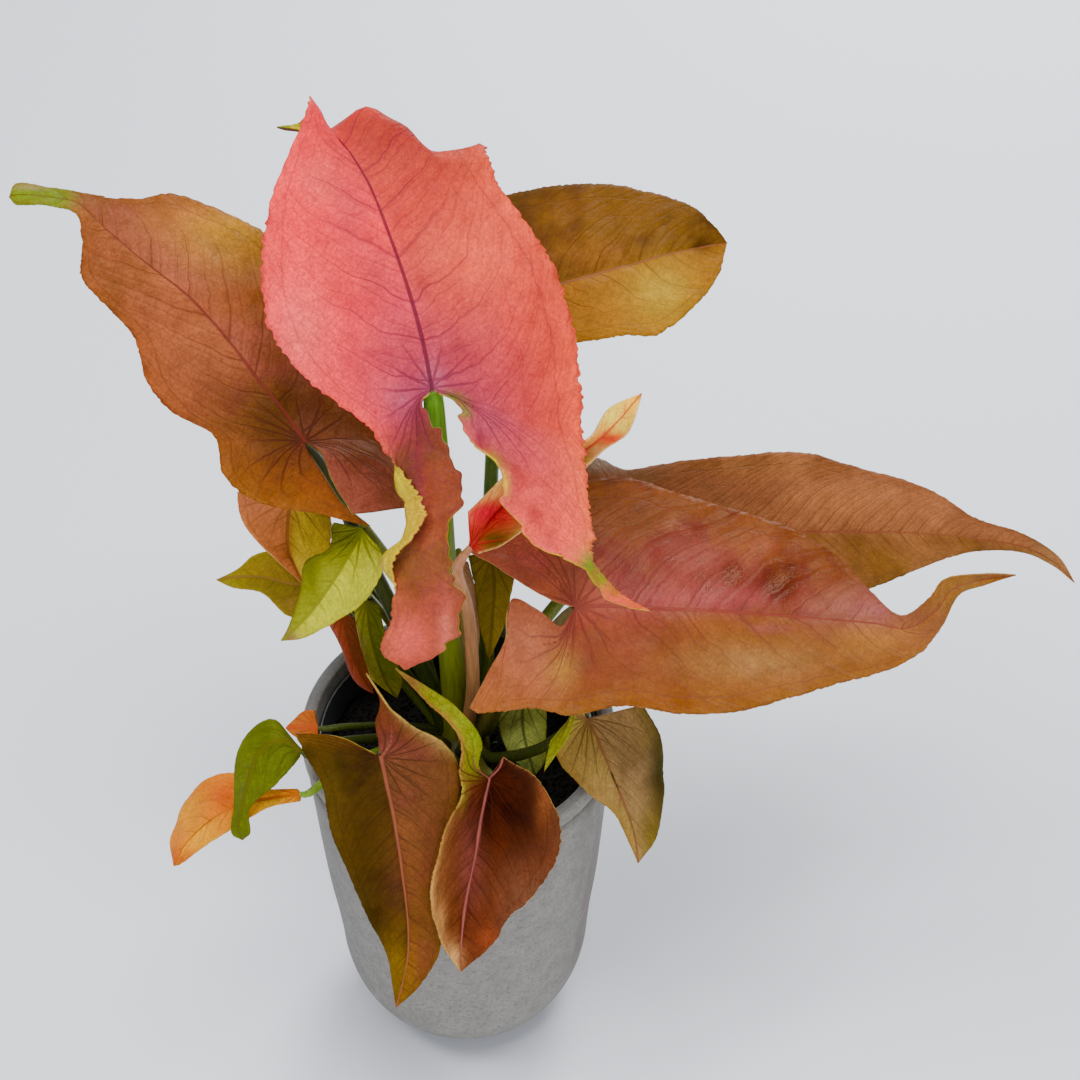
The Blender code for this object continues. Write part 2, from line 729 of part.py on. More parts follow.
def stalk_line(name, stalk):
    """From inside the stem cluster to just short of the blade's junction.

    The last stretch runs square to the blade, or in line with its midrib from the blade's edge."""
    blade = BLADES[name]
    normal = blade_normal(blade)
    junction = place_pick(blade, blade["midrib"][0])
    if stalk.get("from_edge"):
        normal = (place_pick(blade, blade["midrib"][1]) - junction).normalized()
        top = junction - normal * STALK_GAP
    else:
        top = junction - normal * (BLADE_THICKNESS / 2.0 + STALK_GAP)
    x, y = stalk["foot"]
    points = [Vector((x, y, SOIL_TOP - FOOT_SINK)), Vector((x, y, SOIL_TOP + FOOT_RISE))]
    points += [Vector(point) for point in stalk["way"]]
    points += [top - normal * STALK_TURN]
    spans = len(points) - 1
    line = [along(points, spans * step / STALK_SAMPLES) for step in range(STALK_SAMPLES + 1)]
    return line + [top]


def make_stalk(name, stalk, collection):
    curve = bpy.data.curves.new(name + "_stalk", "CURVE")
    curve.dimensions = "3D"
    curve.bevel_depth = MM
    curve.bevel_resolution = 1
    curve.use_fill_caps = True
    line = stalk_line(name, stalk)
    spline = curve.splines.new("POLY")
    spline.points.add(len(line) - 1)
    foot, head = stalk["radii"]
    for index, point in enumerate(line):
        spline.points[index].co = (*(point * MM), 1.0)
        spline.points[index].radius = foot + (head - foot) * index / (len(line) - 1)
    spline.points[len(line) - 1].radius = head * STALK_TAPER
    return add_object(name + "_stalk", curve, collection)


def as_mesh(piece, collection):
    """The same object as a plain mesh; the one it was made from is removed."""
    graph = bpy.context.evaluated_depsgraph_get()
    mesh = bpy.data.meshes.new_from_object(piece.evaluated_get(graph))
    form = bmesh.new()
    form.from_mesh(mesh)
    bmesh.ops.remove_doubles(form, verts=form.verts, dist=MERGE)
    form.to_mesh(mesh)
    form.free()
    name = piece.name
    bpy.data.objects.remove(piece, do_unlink=True)
    return add_object(name, mesh, collection)


def make_stems(collection, cutters):
    """The stem cluster in its hole, with every stalk grown into it."""
    base = SOIL_TOP - CLUSTER_DEPTH + GAP
    dome_height = CLUSTER_RISE * DOME_SHARE
    shoulder = SOIL_TOP + CLUSTER_RISE - dome_height
    dome = arc((0.0, shoulder), (CLUSTER_RADIUS, dome_height), 90, 0, DOME_STEPS)
    profile = dome + [(CLUSTER_RADIUS, base), (0.0, base)]
    cluster = make_turned("stems", profile, collection)
    cluster = as_mesh(cluster, collection)
    for name, stalk in STALKS.items():
        as_mesh(make_stalk(name, stalk, cutters), cutters)
    join = cluster.modifiers.new("stalks", "BOOLEAN")
    join.operation = "UNION"
    join.solver = "EXACT"
    join.operand_type = "COLLECTION"
    join.collection = cutters
    cluster = as_mesh(cluster, collection)
    for piece in list(cutters.objects):
        bpy.data.objects.remove(piece, do_unlink=True)
    cluster.name = "stems"
    return cluster


def main():
    clear_scene()
    plant = new_collection("arrowhead_plant")
    cutters = new_collection("cutters")
    make_pot(plant)
    make_inner_pot(plant)
    make_soil(plant)
    make_stems(plant, cutters)
    for name, blade in BLADES.items():
        make_blade(name, blade, plant)


main()
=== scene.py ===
"""Arrowhead plant (Syngonium) in its pot: the finished look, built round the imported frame.

Lengths in the tables are millimetres, +Z is up and the origin is the centre of the pot's base.
Blades are laid out on a square view of 1080 by 1080 picks, seen from the point EYE. A pick is
(x, y, lift): its place in that view, and how far it stands above the blade's leaning plane.
"""

import math

import bmesh
import bpy
import numpy as np
from bpy.props import FloatProperty, FloatVectorProperty, IntProperty, PointerProperty
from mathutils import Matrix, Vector, noise


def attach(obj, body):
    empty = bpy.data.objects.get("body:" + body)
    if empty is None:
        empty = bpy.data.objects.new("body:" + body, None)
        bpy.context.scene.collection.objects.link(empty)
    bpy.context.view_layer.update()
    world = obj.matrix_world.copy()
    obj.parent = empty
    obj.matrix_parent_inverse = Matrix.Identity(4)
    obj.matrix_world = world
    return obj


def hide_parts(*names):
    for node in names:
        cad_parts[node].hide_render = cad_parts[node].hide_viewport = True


bl_info = {
    "name": "Arrowhead plant",
    "version": (1, 0, 0),
    "blender": (4, 5, 0),
    "location": "View3D > Sidebar > Plant",
    "description": "Builds a potted arrowhead plant round its frame",
    "category": "Object",
}

MATH = "ShaderNodeMath"
VECTOR_MATH = "ShaderNodeVectorMath"
MIX = "ShaderNodeMix"
RANGE = "ShaderNodeMapRange"
NOISE = "ShaderNodeTexNoise"
SMOOTH = {"interpolation_type": "SMOOTHSTEP"}

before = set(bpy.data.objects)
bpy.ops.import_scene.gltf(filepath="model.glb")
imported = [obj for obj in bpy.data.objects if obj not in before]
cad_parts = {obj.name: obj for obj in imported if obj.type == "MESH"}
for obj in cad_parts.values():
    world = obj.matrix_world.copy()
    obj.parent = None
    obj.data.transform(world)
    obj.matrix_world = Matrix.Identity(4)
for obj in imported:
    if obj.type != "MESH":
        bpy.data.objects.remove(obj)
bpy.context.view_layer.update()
MM = 0.001

# The view that the picks belong to
EYE = np.array((24.8, -453.3, 661.0))
VIEW_PITCH = math.radians(45.0)
VIEW_REACH = 2300.0
VIEW_MIDDLE = 540.0
AHEAD = np.array((0.0, math.cos(VIEW_PITCH), -math.sin(VIEW_PITCH)))
ASIDE = np.array((1.0, 0.0, 0.0))
ABOVE = np.array((0.0, math.sin(VIEW_PITCH), math.cos(VIEW_PITCH)))

# The pot
POT_HEIGHT = 130.0
POT_TOP_RADIUS = 47.5
POT_SHOULDER = (43.8, 72.0)
POT_WAIST = (41.7, 50.0)
POT_HEEL_TOP = (40.5, 35.0)
POT_FOOT_RADIUS = 20.0
POT_WALL = 4.0
POT_FLOOR = 9.0
POT_FLOOR_RADIUS = 28.5
LIP_ROUND = 2.0
LIP_HEIGHT = 5.0
LIP_STEP = 0.6
CREST_RADIUS = 45.5

# Places on the glaze, in metres: the middle of the brownish runs, and the brown spot
RUN_PLACE = (0.038, -0.017, 0.0)
SPOT_PLACE = (0.0455, -0.0135, 0.1215)

# The nursery pot and the soil in it, where GAP keeps each clear of the next
GAP = 0.3
NURSERY_WALL = 0.9
NURSERY_TOP = 124.5
NURSERY_TOP_RADIUS = 42.6
NURSERY_FOOT_RADIUS = 28.0
NURSERY_FOOT_CURVE = 3.0
SOIL_TOP = 117.0
SOIL_CROWN = 2.0
SOIL_ROUGH = 1.2
SOIL_SAMPLES = 16
SOIL_SIDES = 96
SOIL_MARGIN = 1.0  # the soil is left smooth this near the hole and the nursery pot
LUMPS_PER_METRE = 90.0
LYING = 0.7  # crumbs lie on faces that look up at least this much
MOSS_SHARE = 0.02  # bits of moss to each crumb

# The stem cluster and its stalks
CLUSTER_RADIUS = 9.5
CLUSTER_DEPTH = 26.0
CLUSTER_RISE = 8.0
CLUSTER_SIDES = 48
DOME_SHARE = 0.6  # share of the rise that is rounded
DOME_TURN = 1.45  # how far its section is followed, in radians
DOME_RINGS = 8
FOOT_SINK = 4.0
FOOT_RISE = 6.0
STALK_TURN = 3.0  # a stalk runs straight for this length before its blade
STALK_SHORT = 1.1  # and ends this far below it, unless it meets its edge
STALK_SAMPLES = 40
STALK_SIDES = 20
STALK_RIDGES = 7
STALK_RIDGE = 0.04
STALK_TAPER = 0.8  # how evenly a stalk grows thin on its way
HEAD_START = 0.94  # where its head starts, as a share of its length
HEAD_LENGTH = 0.06
HEAD_NARROWING = 0.35
TONE_RISE = 1.5  # how late the head's colour takes over

# How a blade is built. Lengths are mm.
RIB_FINENESS = 12  # samples in each span of a rib
SMALL_BLADE = 6  # a blade with fewer midrib picks than this has half as many cells each way
SLIM_WIDTH = 8.0  # where a blade is narrower than this, its surface is calmer
HEART_REACH = 24.0  # how far the colours near the junction reach
RIM_POWER = 5  # how closely the edge's colour keeps to the edge
EDGE_POWER = 8  # how closely nicks and scallops keep to it
LOBE_BLEND = 10.0  # how far into a lobe its own colours take over
LOBE_MIDDLE = 0.42  # where a lobe's own midrib runs, as a share of the way out from the sinus
LOBE_REACH = 14.0  # how far into a lobe it takes to get there
LOBE_FAINT = 1.08  # for each unit of that share, what is added to the distance to make it faint
VEIN_LEAN = 0.7  # how far towards the tip a side vein leans, for each mm from the midrib
VEIN_SWEEP = 0.7  # how much more it leans at the edge
VEIN_SCALE = 100.0  # mm to a unit of the vein coordinates
MIDRIB_SINK = 0.5  # depth of the groove over the midrib
VEIN_BREADTH = 0.9  # its breadth
CRUMPLE = 0.75  # height of the skin's unevenness
CRUMPLE_LENGTH = 7.0
WAVE_TURNS = 2.0  # noise cells to a wave of the edge
NICK_LENGTH = 1.1
FINE_NICK = 0.7  # depth of the finer nicks, to that of the others
FINE_NICK_TURNS = 2.1  # finer nicks to each of the others
WET_CORE = 2.0  # how firm a wet patch is in its middle, before it is cut to 1
WET_FALL = 1.6  # how fast that falls to its edge
WET_TINT = 0.85  # how much of the wet colour shows
SEEDS = dict(blade=7.3, left=2.0, right=4.0, nick=3.1, fine_nick=5.3, scallop=9.7)
SEED_SPREAD = 1.7

# A leaf's veins. Widths are half widths, in mm unless the name says otherwise.
SIDE_VEINS = ((1.0, 0.55, 1.0), (2.3, 0.36, 0.55), (6.1, 0.26, 0.25))  # closeness, width, strength
VEIN_TAPER = 0.6  # share of its width that a side vein loses on its way out
VEIN_FADE = 0.75  # share of its strength that it loses
VEIN_CORE = 0.25  # share of a vein's width that has its full colour
VEIN_WANDER = 1.1  # how far the broad mottling bends side veins, in spacings
LOBE_SIDE_VEINS = 0.35  # how much of the side veins is left in a lobe
HALF_TURN = 0.5  # where a repeating pattern folds back
FAN_ANGLE = 0.42  # angle between the veins that spread from the junction, in radians
FAN_CORE = 6.0  # they have their full strength as far from it as this
FAN_REACH = 26.0  # and end here
FAN_WANDER = 0.35  # how far the mottling bends them, in spacings
FAN_LINE = (0.1, 0.5)  # from a vein's middle, where it starts to fade and where it ends
MIDRIB_WIDTH = 0.75  # at the junction
MIDRIB_TAPER = 0.006  # what it loses in each mm
MIDRIB_LEAST = 0.2
MIDRIB_LINE = (0.55, 1.1)  # where it starts to fade and where it ends, in its own width
EDGE_VEINS = ((0.84, 0.012, 0.6), (0.62, 0.01, 0.35))  # place and width as shares, and strength
EDGE_VEIN_WANDER = 0.08  # how far the mottling bends them, as a share
NETS = ((3.6, 0.075, 0.5), (1.3, 0.13, 0.32))  # cell size, line width in cells, and strength
NET_WARP = 6.0  # how far the mottling shifts the nets

# A leaf's skin
LEAF_IOR = 1.42
CUTICLE_TINT = (1.0, 0.82, 0.6)
MOTTLES = ((22.0, 0.5), (5.3, 0.6), (0.9, 0.7))  # size in mm and roughness, from broad to fine
MOTTLE_STRENGTHS = (0.6, 0.7, 0.9)
PATCH_SIZE = 30.0
PATCH_EDGE = (0.42, 0.58)
VEIN_STRENGTH = 0.56  # how much of the veins' colour shows
HEART_VEINS = 0.15  # how much stronger the veins are at the junction
MIDRIB_STRENGTH = 0.85
HOLLOWS = ((0.4, 1.0), (0.15, 0.6))  # reach in spacings, and depth, beside main and side veins
PUCKER = 0.05  # depth of those hollows in the relief, for each mm of spacing
FINE_RELIEF = 0.5  # how much of the fine mottling shows in the relief
RIB_GROOVE = 0.7  # how deep the veins lie in it
ROUGH_RANGE = 0.4  # how much the roughness varies
WET_ROUGHNESS = 0.12
INNER_LIGHT = 0.1  # share of the light that goes through the tissue
INNER_REACH = 1.5  # and how far, in mm

# How light the glaze is where it ran thin
GLAZE_SHADE = 0.78

# The least and the most of a crumb's sides, as shares of the largest crumb, and of its turns
CRUMB_SIZES = ((0.18, 0.18, 0.14), (0.75, 0.6, 0.45))
CRUMB_TURNS = ((0.0, 0.0, 0.0), (6.28, 6.28, 6.28))

# The stage, in metres: each light's place, what it points at and its size
LIGHTS = {
    "key": ((-0.5, -0.15, 1.2), (0.0, 0.0, 0.15), 0.4),
    "top": ((0.1, -0.2, 1.3), (0.05, 0.0, 0.15), 0.5),
    "wash": ((0.35, 0.95, 0.75), (0.2, 0.6, 0.0), 0.6),
    "fill": ((0.25, -1.4, 0.3), (0.0, 0.0, 0.08), 0.8),
}
SKY_TINT = (0.93, 0.95, 1.0, 1.0)
FLOOR_HALF = 12.0
FLOOR_CORNERS = ((-1, -1), (1, -1), (1, 1), (-1, 1))
SENSOR_WIDTH = 36.0

# Each blade: the height of its junction with the stalk, and the slope and downhill bearing in
# degrees of its plane. The midrib runs from the junction to the tip. Left and right give the
# margin beside each midrib pick but the last, and where a rib bends, the picks on its way there.
# A lobe's ribs run from beside the junction to the lobe's tip, the edge at the sinus first.
BLADES = {
    "leaf_pink": dict(
        height=262, slope=48, downhill=-90,
        midrib=[
            (432, 388, 0), (423, 342, 1), (408, 288, 2), (388, 231, 2), (366, 178, 0),
            (336, 137, -5), (312, 132, -20), (277, 127, -27),
        ],
        left=[
            (367, 425, -2), (306, 378, -4), (268, 325, -5), (262, 262, -5), (272, 198, -4),
            (310, 101, -5), (300, 122, -22),
        ],
        right=[
            (583, 432, -9), (580, 365, -9), (567, 303, -8), (545, 250, -7), (501, 188, -6),
            ((368, 110, -6), (407, 130, -7), (436, 155, -6), (481, 144, -9)),
            ((380, 140, -24), (455, 168, -26)),
        ],
        left_lobe=[
            ((423, 405, 0), (386, 454, -3)), ((447, 445, 2), (397, 484, -1), (410, 482, 3)),
            ((461, 492, 4), (406, 512, 1), (423, 506, 6)),
            ((450, 530, 6), (405, 533, 3), (420, 529, 8)),
            ((453, 566, 8), (385, 562, 2), (395, 560, 6)), ((461, 607, 9), (393, 610, 3)),
            ((450, 645, 6), (382, 650, 0)), ((405, 670, 1),),
        ],
        right_lobe=[
            ((458, 405, 0), (585, 465, -9)), ((464, 435, 0), (588, 500, -9)),
            ((500, 468, 3), (592, 525, -8)), ((504, 505, 4), (593, 541, -6)),
            ((540, 549, 5), (591, 554, -2)), ((583, 567, 5), (598, 569, 2)),
            ((612, 601, 5), (622, 595, 3)), ((650, 611, 5),),
        ],
    ),
    "leaf_copper": dict(
        height=236, slope=34, downhill=-75,
        midrib=[
            (305, 441, 0), (282, 409, 1), (258, 379, 2), (226, 337, 3), (185, 293, 4),
            (145, 262, 4), (105, 228, 3), (77, 203, 1), (45, 197, 2), (20, 195, 3), (9, 197, 3),
        ],
        left=[
            (214, 436, -5), (172, 412, -5), (147, 382, -4), (134, 337, -3), (108, 308, -2),
            (82, 277, -2), (82, 237, -1), (75, 213, 2), (45, 205, 4), (18, 205, 5),
        ],
        right=[
            (398, 435, -9), (372, 370, -9), (340, 312, -8), (300, 264, -7), (254, 227, -5),
            (180, 196, -3), (128, 200, -1), (76, 192, -1), (46, 187, 0), (17, 184, 1),
        ],
        left_lobe=[
            ((311, 455, -1), (224, 475, -6)), ((324, 476, -3), (258, 502, -8)),
            ((342, 503, -5), (312, 512, -9)), ((370, 526, -8),),
        ],
        right_lobe=[
            ((321, 453, 1), (405, 468, -7)), ((332, 480, 1), (408, 492, -6)),
            ((353, 514, 0), (405, 508, -5)),
        ],
    ),
    "leaf_olive": dict(
        height=248, slope=18, downhill=-80,
        midrib=[
            (505, 300, 0), (560, 284, 1), (602, 272, 1), (642, 261, 0), (680, 251, -1),
            (706, 246, -3), (727, 243, -5),
        ],
        left=[
            (498, 198, 1), (548, 187, 2), (595, 184, 2), (640, 190, 1), (686, 204, 0),
            (713, 225, -1),
        ],
        right=[
            (540, 350, -2), (582, 342, -2), (622, 336, -2), (660, 333, -3), (700, 301, -4),
            (719, 272, -5),
        ],
        left_lobe=[
            ((494, 290, 0), (470, 215, 0)), ((470, 275, -2), (452, 240, -3)),
            ((440, 268, -6),),
        ],
        right_lobe=[
            ((500, 312, 0), (508, 352, -3)), ((488, 330, -3), (486, 356, -5)),
            ((465, 352, -7),),
        ],
    ),
    "leaf_rose": dict(
        height=197, slope=32, downhill=-82,
        midrib=[
            (575, 607, 0), (622, 606, 1), (672, 609, 1), (724, 611, 1), (776, 615, 0),
            (826, 619, 0), (872, 623, 0), (907, 628, 2), (935, 612, 7), (952, 590, 11),
            (985, 579, 13), (1016, 575, 12),
        ],
        left=[
            (575, 483, -3), (628, 478, -2), (682, 495, -1), (738, 511, 0), (790, 528, 0),
            (838, 557, 0), (868, 588, 1), (900, 615, 3), (928, 599, 9), (945, 579, 13),
            (985, 574, 15),
        ],
        right=[
            (572, 716, -3), (622, 706, -3), (682, 714, -4), (740, 711, -5), (790, 698, -5),
            (836, 684, -5), (880, 673, -4), (920, 653, -1), (941, 627, 4), (958, 595, 9),
            (985, 585, 12),
        ],
        left_lobe=[
            ((558, 602, 0), (535, 496, -5)), ((530, 588, 0), (505, 515, -6)),
            ((498, 568, -2), (484, 533, -7)), ((470, 552, -6),),
        ],
        right_lobe=[
            ((560, 626, 0), (550, 711, -3)), ((541, 612, 1), (530, 708, -3)),
            ((512, 599, 1), (506, 711, -4)), ((505, 640, 0), (489, 712, -4)),
            ((488, 672, -1), (478, 713, -3)), ((470, 708, -2),),
        ],
    ),
    "leaf_brown": dict(
        height=182, slope=24, downhill=-75,
        midrib=[
            (622, 535, 0), (680, 536, 0), (740, 534, 0), (800, 532, 0), (860, 532, 0),
            (920, 533, 0), (970, 538, -1), (1020, 546, -4), (1054, 562, -8), (1075, 583, -12),
        ],
        left=[
            (628, 469, 2), (688, 460, 2), (748, 455, 2), (803, 453, 1), (866, 470, 0),
            (926, 488, 0), (975, 518, -1), (1024, 534, -3), (1058, 556, -6),
        ],
        right=[
            (630, 600, -3), (692, 612, -4), (756, 610, -4), (816, 601, -4), (872, 588, -4),
            (926, 566, -3), (972, 552, -3), (1019, 552, -5), (1052, 565, -8),
        ],
        left_lobe=[
            ((612, 520, 0), (600, 459, 1)), ((598, 498, -1), (580, 463, -1)),
            ((566, 478, -4),),
        ],
        right_lobe=[
            ((612, 545, 0), (600, 590, -4)), ((592, 560, -2), (580, 585, -6)),
            ((560, 580, -8),),
        ],
    ),
    "leaf_hanging": dict(
        height=160, slope=62, downhill=-95,
        midrib=[
            (381, 757, 0), (388, 790, -2), (396, 830, -3), (402, 870, -3), (407, 910, -2),
            (408, 950, -1), (402, 985, 0), (396, 1008, 1),
        ],
        left=[
            (458, 766, -2), (460, 797, -3), (451, 830, -2), (438, 864, -1), (433, 902, 0),
            (441, 946, 0), (421, 984, 0),
        ],
        right=[
            (304, 753, -2), (322, 785, 0), (331, 832, 1), (347, 870, 1), (366, 914, 0),
            (386, 952, 0), (393, 988, 0),
        ],
        left_lobe=[
            ((378, 742, 0), (442, 741, 2)), ((376, 720, 0), (414, 727, 1)),
            ((380, 699, 0), (393, 711, 1)), ((366, 673, 0),),
        ],
        right_lobe=[
            ((362, 748, -1), (301, 745, -3)), ((338, 736, -2), (298, 740, -4)),
            ((296, 733, -5),),
        ],
    ),
    "leaf_cupped": dict(
        height=150, slope=58, downhill=-88,
        midrib=[
            (489, 778, 0), (482, 812, -2), (477, 845, -3), (470, 880, -3), (464, 915, -1),
            (461, 948, 1), (461, 972, 3),
        ],
        left=[
            (540, 781, 6), (560, 822, 9), (556, 860, 9), (533, 896, 8), (508, 918, 6),
            (493, 944, 4),
        ],
        right=[
            (462, 795, 8), (447, 828, 10), (437, 858, 10), (431, 888, 9), (433, 918, 7),
            (444, 948, 5),
        ],
        left_lobe=[((497, 767, 2), (521, 769, 5)), ((503, 757, 3),)],
        right_lobe=[
            ((479, 765, 4), (461, 768, 9)), ((482, 742, 5), (461, 742, 9)),
            ((466, 718, 4), (450, 723, 8)), ((440, 695, 1), (430, 705, 4)), ((395, 668, -3),),
        ],
    ),
    "leaf_folded": dict(
        height=150, slope=48, downhill=-60,
        midrib=[
            (588, 718, 0), (600, 745, 1), (612, 773, 1), (624, 803, 0), (634, 832, 0),
            (638, 863, -1),
        ],
        left=[(643, 705, -3), (660, 738, -5), (664, 774, -5), (661, 810, -4), (654, 840, -2)],
        right=[(559, 762, -2), (575, 780, -2), (593, 797, -2), (614, 813, -2), (628, 841, -1)],
        right_lobe=[
            ((578, 712, 3), (553, 738, 3)), ((566, 740, 7), (548, 750, 6)), ((544, 772, 7),),
        ],
    ),
    "leaf_orange": dict(
        height=134, slope=35, downhill=-150,
        midrib=[
            (301, 794, 0), (264, 799, 1), (235, 806, 3), (208, 822, 4), (184, 846, 3),
            (174, 866, 2),
        ],
        left=[(300, 801, 0), (268, 808, 0), (236, 827, 0), (208, 844, 0), (184, 862, 0)],
        right=[(298, 789, 0), (262, 788, 1), (233, 773, 1), (197, 787, 0), (172, 836, 0)],
    ),
    "leaf_lime": dict(
        height=147, slope=55, downhill=-110,
        midrib=[
            (302, 751, 0), (281, 740, 4), (260, 752, 5), (249, 778, 4), (243, 804, 2),
            (239, 825, 1), (243, 840, 1),
        ],
        left=[
            (299, 747, -2), (272, 720, 2), (246, 736, 3), (236, 765, 2), (234, 803, 1),
            (232, 832, 0),
        ],
        right=[
            (299, 757, -1), (290, 768, 1), (273, 787, 2), (260, 797, 2), (249, 811, 1),
            (250, 832, 2),
        ],
    ),
    "leaf_tab": dict(
        height=138, slope=45, downhill=-100,
        midrib=[(318, 728, 0), (305, 727, 1), (295, 727, 1), (286, 728, 0)],
        left=[(315, 710, 0), (304, 711, 0), (294, 720, 0)],
        right=[(318, 742, 0), (304, 740, 0), (294, 735, 0)],
    ),
    "leaf_pale": dict(
        height=205, slope=50, downhill=-105,
        midrib=[
            (362, 528, 0), (346, 560, 1), (326, 592, 2), (312, 611, 1), (296, 628, 1),
            (281, 641, 0),
        ],
        left=[(377, 545, -2), (384, 566, -2), (366, 600, -1), (340, 619, 0), (306, 637, 0)],
        right=[(333, 522, -2), (329, 549, -1), (306, 562, -1), (300, 592, -1), (290, 624, 0)],
    ),
    "leaf_blush": dict(
        height=196, slope=55, downhill=-100,
        midrib=[(292, 492, 0), (288, 522, -3), (288, 548, -3), (295, 566, -1), (304, 585, 0)],
        left=[(330, 505, -3), (331, 528, -3), (328, 550, -2), (309, 566, -1)],
        right=[(237, 492, 2), (240, 515, 2), (252, 535, 2), (276, 560, 1)],
    ),
    "leaf_pointed": dict(
        height=168, slope=30, downhill=-110,
        midrib=[(325, 588, 0), (290, 583, 0), (262, 577, 0), (238, 577, 0), (216, 580, -1)],
        left=[(322, 622, -2), (288, 616, -1), (262, 593, 0), (234, 588, 0)],
        right=[(322, 560, 0), (286, 551, 0), (256, 554, 0), (238, 569, 0)],
    ),
    "leaf_strip": dict(
        height=168, slope=60, downhill=-90,
        midrib=[(343, 612, 0), (350, 645, 1), (360, 672, 1), (374, 694, 0)],
        left=[(354, 618, 0), (360, 645, 0), (368, 672, 0)],
        right=[(325, 617, 0), (341, 647, 0), (354, 680, 0)],
    ),
    "leaf_sheath": dict(
        height=172, slope=70, downhill=-90,
        midrib=[(367, 600, 0), (370, 632, 1), (376, 655, 1), (385, 680, 1), (397, 698, 0)],
        left=[(378, 604, -1), (385, 632, -1), (393, 655, -1), (402, 680, 0)],
        right=[(354, 606, -1), (359, 640, -1), (364, 664, -1), (374, 680, 0)],
    ),
    "leaf_narrow": dict(
        height=184, slope=78, downhill=-85,
        midrib=[(459, 558, 0), (467, 600, 0), (469, 645, 0), (471, 692, 0)],
        left=[(468, 562, -1), (477, 600, -1), (479, 645, 0)],
        right=[(451, 564, -1), (458, 603, -1), (459, 648, 0)],
    ),
    "leaf_shaded": dict(
        height=186, slope=70, downhill=-90,
        midrib=[(492, 553, 0), (494, 590, 0), (492, 622, 0), (489, 660, 0)],
        left=[(516, 565, -1), (512, 590, -1), (505, 622, -1)],
        right=[(468, 556, -1), (476, 592, -1), (479, 622, -1)],
    ),
    "leaf_grey": dict(
        height=143, slope=65, downhill=-90,
        midrib=[(522, 692, 0), (523, 728, 1), (529, 754, 1), (535, 775, 0)],
        left=[(547, 698, -1), (546, 730, -1), (545, 760, -1)],
        right=[(500, 700, -1), (500, 732, -1), (514, 760, -1)],
    ),
    "leaf_young": dict(
        height=215, slope=45, downhill=-90,
        midrib=[
            (470, 548, 0), (503, 505, -3), (548, 472, -3), (592, 445, -2), (618, 421, -1),
            (642, 393, 0),
        ],
        left=[(468, 512, 3), (503, 478, 4), (548, 450, 3), (589, 438, 1), (608, 409, 1)],
        right=[(478, 553, 3), (510, 540, 4), (555, 500, 3), (598, 455, 1), (629, 431, 1)],
    ),
}

# Each stalk: where it leaves the stem cluster, the points it passes on its way to its blade, and
# its radius at the foot and at the blade. One that is marked from_edge meets its blade edge on.
STALKS = {
    "leaf_pink": dict(
        foot=(-0.5, 1), way=[(-0.8, 2, 138), (-2, 3, 180), (-2.6, 3, 229)], radii=(4.2, 2.7),
    ),
    "leaf_copper": dict(
        foot=(-4, 3), way=[(-8, 6, 139), (-22, 15, 174), (-34, 16, 215)], radii=(3.2, 1.7),
    ),
    "leaf_olive": dict(
        foot=(3, 5), way=[(8, 20, 145), (10, 38, 186), (12, 51, 222)], radii=(3, 1.7),
    ),
    "leaf_rose": dict(
        foot=(5, -1), way=[(9, -3, 135), (17.5, -6, 156), (29, -11, 183)], radii=(3.2, 1.8),
    ),
    "leaf_brown": dict(foot=(5, 3), way=[(12, 7, 138), (30, 18, 163)], radii=(2.8, 1.7)),
    "leaf_young": dict(
        foot=(2, -3), way=[(5, -4, 150), (4.5, -7, 185), (2, -11, 206)], radii=(2.4, 1.5),
        from_edge=True,
    ),
    "leaf_hanging": dict(foot=(-4, -4), way=[(-9, -14, 137), (-17, -29, 152)], radii=(2.4, 1.5)),
    "leaf_cupped": dict(foot=(1, -6), way=[(4, -14, 133), (8, -28, 142)], radii=(2.4, 1.5)),
    "leaf_folded": dict(foot=(5, -5), way=[(11, -12, 127), (25, -17, 138)], radii=(2.2, 1.4)),
    "leaf_orange": dict(
        foot=(-6, -2), way=[(-20, -11, 131), (-34, -24, 136)], radii=(1.8, 1.2), from_edge=True,
    ),
    "leaf_lime": dict(
        foot=(-6, 0), way=[(-18, -7, 131), (-34, -18, 142)], radii=(1.8, 1.2), from_edge=True,
    ),
    "leaf_tab": dict(
        foot=(-6, 2), way=[(-18, 0, 128), (-32, -7, 136)], radii=(1.5, 1), from_edge=True,
    ),
    "leaf_pale": dict(foot=(-3, 5), way=[(-8, 9, 140), (-14, 14, 172)], radii=(2, 1.4)),
    "leaf_blush": dict(foot=(-4, 5), way=[(-16, 20, 142), (-36, 36, 172)], radii=(2, 1.4)),
    "leaf_pointed": dict(
        foot=(-5, 4), way=[(-14, 11, 136), (-29, 17, 158)], radii=(1.8, 1.2), from_edge=True,
    ),
    "leaf_strip": dict(foot=(-6, 3), way=[(-16, 9, 136), (-28, 15, 153)], radii=(1.6, 1.1)),
    "leaf_sheath": dict(foot=(-4, 5), way=[(-12, 13, 140), (-22, 18, 158)], radii=(1.6, 1.1)),
    "leaf_narrow": dict(foot=(0, 6), way=[(-1, 15, 136), (0, 27, 158)], radii=(1.6, 1.1)),
    "leaf_shaded": dict(foot=(3, 4), way=[(9, 9, 141), (9.5, 17, 160)], radii=(1.8, 1.2)),
    "leaf_grey": dict(foot=(4, -2), way=[(11, 2, 126), (17, 6, 134)], radii=(1.6, 1.1)),
}

